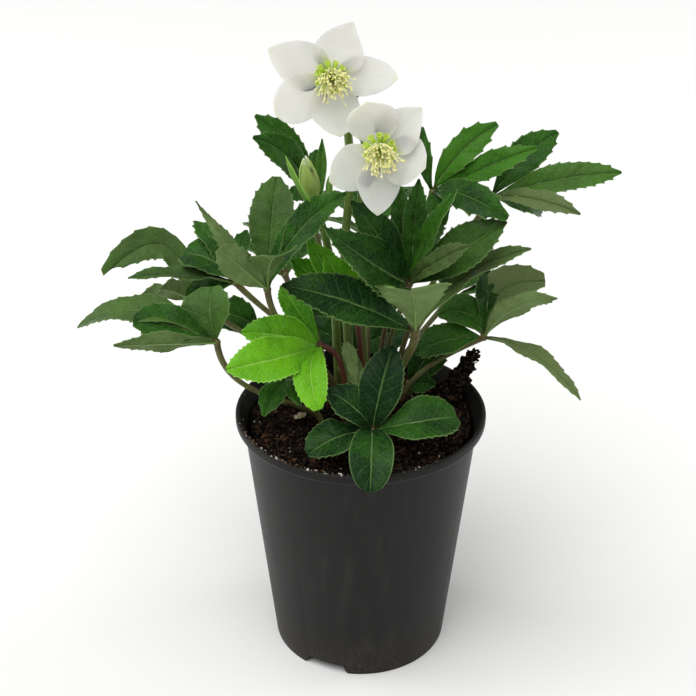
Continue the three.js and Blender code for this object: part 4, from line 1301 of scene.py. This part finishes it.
for bloom_number, (name, bloom) in enumerate(BLOOMS.items()):
    draw = random.Random(bloom_number + 70)
    place_bloom = bloom_place(bloom)

    bm = growing_mesh()
    add_turned(bm, COLLAR_PROFILE, 24, Matrix.Identity(4), [0] * len(COLLAR_PROFILE))
    for row in bloom["tepals"]:
        foot = direction(row["to"], 0) * TEPAL_START
        shape = {"arch": TEPAL_ARCH, "roll": TEPAL_ROLL, **row}
        add_blade(bm, foot, Vector((0, 0, 1)), shape, TEPAL, 0.5, draw)
    give_material(bm.verts, 0)
    bmesh.ops.transform(bm, matrix=place_bloom, verts=bm.verts)
    make_piece(f"{name}_petals", bm, [tepal_white], [f"{name}_tepals"])

    bm = growing_mesh()
    add_turned(bm, DISC_PROFILE, 24, Matrix.Identity(4))
    for i in range(NECTARY_COUNT):
        turn = 360 / NECTARY_COUNT * i + draw.uniform(-8, 8)
        cup_place = leaned(turn, NECTARY_LEAN + draw.uniform(-8, 8), NECTARY_OUT, NECTARY_SEAT)
        add_turned(bm, CUP_PROFILE, 10, cup_place, CUP_REACHES)
    for i in range(STYLE_COUNT):
        turn = 360 / STYLE_COUNT * i
        style_place = leaned(turn, STYLE_LEAN + draw.uniform(-4, 4), STYLE_OUT, STYLE_SEAT)
        add_turned(bm, STYLE_PROFILE, 8, style_place)
    bmesh.ops.transform(bm, matrix=place_bloom, verts=bm.verts)
    make_piece(f"{name}_nectar_cups", bm, [nectary_lime], [f"{name}_nectaries"])

    bm = growing_mesh()
    for i in range(STAMEN_COUNT):
        length = 6.5 + 3.5 * draw.random()
        upward = max(0, math.sin(math.radians(i * GOLDEN_ANGLE)))
        tilt = (4 + 36 * math.sqrt(i / STAMEN_COUNT)) * (1 - 0.5 * upward) + draw.uniform(-6, 6)
        matrix = leaned(i * GOLDEN_ANGLE, tilt, 2.0 + 1.2 * i / STAMEN_COUNT, STAMEN_SEAT)
        bend = draw.uniform(-0.9, 0.9)
        sag = Vector((STAMEN_SAG * draw.uniform(-0.1, 0.7), -STAMEN_SAG * draw.uniform(0.5, 1.2), 0))
        spine = []
        for share in (j / STAMEN_STEPS for j in range(STAMEN_STEPS + 1)):
            straight = Vector((bend * share**2 * 1.5, bend * share, length * share))
            spine.append(matrix @ straight + sag * share**2)
        add_tube(bm, spine, STAMEN_WIDTHS, 6)
        ahead = (spine[-1] - spine[-2]).normalized()
        along_thread = ahead.to_track_quat("Z", "Y").to_matrix().to_4x4()
        anther_place = Matrix.Translation(spine[-1] + ahead * 0.4) @ along_thread
        anther_shape = anther_place @ Matrix.Diagonal((*ANTHER_HALF, 1))
        anther = bmesh.ops.create_icosphere(bm, subdivisions=1, radius=1, matrix=anther_shape)
        give_material(anther["verts"], 1)
        for vertex in anther["verts"]:
            vertex[bm.verts.layers.float["reach"]] = draw.random()
    bmesh.ops.transform(bm, matrix=place_bloom, verts=bm.verts)
    make_piece(f"{name}_brush", bm, [filament_cream, anther_cream], [f"{name}_stamens"])

# ------------------------------------------------------------------ the flower stems and the bud
# Three smooth fleshy stems rise from the crown, two to the blooms and one to a closed bud. Narrow green
# bracts sit on them below the flowers.

SCAPE_RADIUS = 2.2
RECEPTACLE_LENGTH = 4
SCAPE_GAP = 0.3
BRACT = dict(
    slim=1.3, blunt=0.95, fold=12, cupped=1.4, base=1, columns=8, thickness=LEAF_THICKNESS, groove=0.25,
    toothed=0, pitch=1, tooth=0, quilt=0.15, crinkle=0.2, crinkle_size=4.5, wave=0.3,
)
STEM_GREEN = (0.15, 0.26, 0.045, 1)
# The stems' darker ends are partly their own olive-brown foot and partly painted shade, for the lower stems
# stand shaded among the leaves.
STEM_FOOT_AND_SHADE = (0.12, 0.12, 0.04, 1)
BUD_CREAM = (0.72, 0.8, 0.45, 1)
BUD_GREEN = (0.4, 0.66, 0.11, 1)
BUD_FOOT = (0.66, 0.6, 0.3, 1)
BRACT_DEEP = (0.02, 0.09, 0.01, 1)
BRACT_LIGHT = (0.16, 0.34, 0.05, 1)

SCAPES = {
    "scape_high": dict(
        foot=(-4, 17), through=[(-6, 16, 165), (-9, 14, 235), (-6, 15, 290), (-10, 29, 319)],
        bracts=[dict(at=(-12, 27, 313), to=5, rise=48, long=24, wide=10, tone=0.1)],
    ),
    "scape_low": dict(
        foot=(3, 20), through=[(2, 19, 165), (0, 15, 235), (1, 15, 292), (5, 9, 317)],
        bracts=[dict(at=(2, 13, 300), to=140, rise=40, long=9, wide=5, tone=0.4)],
    ),
}
BUD_SCAPE = dict(
    foot=(-12, 26), through=[(-13, 25, 165), (-16, 21, 225), (-20, 17, 250)],
    bracts=[
        dict(at=(-22, 12, 262), to=217, rise=61, long=44, wide=8, arch=-4, sweep=3, tone=0.9),
        dict(at=(-21, 16, 263), to=20, rise=76, long=21, wide=9, arch=-2, tone=0.6),
        dict(at=(-23, 18, 263), to=70, rise=80, long=38, wide=6, arch=-2, tone=0.15),
    ],
)
BUD_BASE = Vector((-25, 14, 269))
BUD_TIP = Vector((-30, 8, 298))
BUD_CORE_PROFILE = [(0, 0), (2.4, 0), (3.2, 6), (2.8, 14), (1.6, 22), (0, 25)]

# The stem skin darkens towards both ends of each stem; at the foot this darkening is partly painted shade.
stem_skin = stalk_material("stem_skin", STEM_GREEN, STEM_FOOT_AND_SHADE, 0.75)
bract_face = leaf_material(
    "bract_face",
    BRACT_DEEP,
    BRACT_LIGHT,
    YOUNG_VEIN,
    YOUNG_VEIN,
    vein_share=0.3,
    roughness=0.42,
    depth=0.0003,
    scatter=0.1,
)
bud_skin = petal_material("bud_skin", BUD_GREEN, BUD_CREAM, BUD_FOOT, BUD_CREAM)
STEM_SKINS = [bract_face, bract_face, leaf_rib, stem_skin]


def smooth_path(points, steps):
    """A path through the points, rounded as a Catmull-Rom curve with centripetal spacing."""
    ends = [points[0] * 2 - points[1], *points, points[-1] * 2 - points[-2]]
    path = []
    for before, first, second, after in zip(ends, ends[1:], ends[2:], ends[3:]):
        knots = [0.0]
        for start, end in ((before, first), (first, second), (second, after)):
            knots.append(knots[-1] + max((end - start).length, 1e-3) ** 0.5)
        for i in range(steps):
            at = knots[1] + (knots[2] - knots[1]) * i / steps
            low = before.lerp(first, at / knots[1])
            middle = first.lerp(second, (at - knots[1]) / (knots[2] - knots[1]))
            high = second.lerp(after, (at - knots[2]) / (knots[3] - knots[2]))
            lower = low.lerp(middle, at / knots[2])
            upper = middle.lerp(high, (at - knots[1]) / (knots[3] - knots[1]))
            path.append(lower.lerp(upper, (at - knots[1]) / (knots[2] - knots[1])))
    return [*path, points[-1]]


def add_scape(bm, scape, place, seat, seat_radius):
    """A flower stem through its points, widening into the cone that carries the flower."""
    x, y = scape["foot"]
    start = Vector((x, y, soil_height(x, y) - SOCKET_DEPTH))
    end = place @ Vector((0, 0, seat - RECEPTACLE_LENGTH * 0.75))
    path = smooth_path([start, *map(Vector, scape["through"]), end], 10)
    widths = [SCAPE_RADIUS * (1.12 - 0.16 * i / len(path)) for i in range(len(path))]
    cone = [place @ Vector((0, 0, seat - RECEPTACLE_LENGTH * rest)) for rest in (0.6, 0.4, 0.2, 0.05, 0)]
    flare = [SCAPE_RADIUS + (seat_radius - SCAPE_RADIUS) * share for share in (0.15, 0.4, 0.8, 1, 0.9)]
    add_tube(bm, path + cone, widths + flare, 16, STALK)


for name, scape in SCAPES.items():
    draw = random.Random(len(name))
    bm = growing_mesh()
    bloom = BLOOMS[name.replace("scape", "bloom")]
    add_scape(bm, scape, bloom_place(bloom), COLLAR_BOTTOM - SCAPE_GAP, 3.4)
    for row in scape["bracts"]:
        add_blade(bm, Vector(row["at"]), direction(90, 60), row, BRACT, row["tone"], draw)
    make_piece(f"{name}_stem", bm, STEM_SKINS, [name])

bud_axis = (BUD_TIP - BUD_BASE).normalized()
bud_turn = Vector((0, 0, 1)).rotation_difference(bud_axis).to_matrix().to_4x4()
bud_place = Matrix.Translation(BUD_BASE) @ bud_turn
bm = growing_mesh()
draw = random.Random(9)
add_scape(bm, BUD_SCAPE, bud_place, -SCAPE_GAP, 2.6)
for row in BUD_SCAPE["bracts"]:
    add_blade(bm, Vector(row["at"]), direction(row["to"] + 180, 20), row, BRACT, row["tone"], draw)
make_piece("scape_bud_stem", bm, STEM_SKINS, ["scape_bud"])

bm = growing_mesh()
bud_length = (BUD_TIP - BUD_BASE).length
for to in (30, 150, 270):
    wrapped = dict(
        to=to + 180, rise=87, long=bud_length - 1 - to / 100, wide=10, arch=-3.2, roll=14,
        fold=26, wave=0.2, base=1.8,
    )
    add_blade(bm, direction(to, 0) * 2.2, -direction(to, 0), wrapped, TEPAL, 0.5, draw)
give_material(bm.verts, 0)
add_turned(bm, BUD_CORE_PROFILE, 16, Matrix.Identity(4))
bmesh.ops.transform(bm, matrix=bud_place, verts=bm.verts)
make_piece("bud_petals", bm, [bud_skin], ["bud_tepals"])
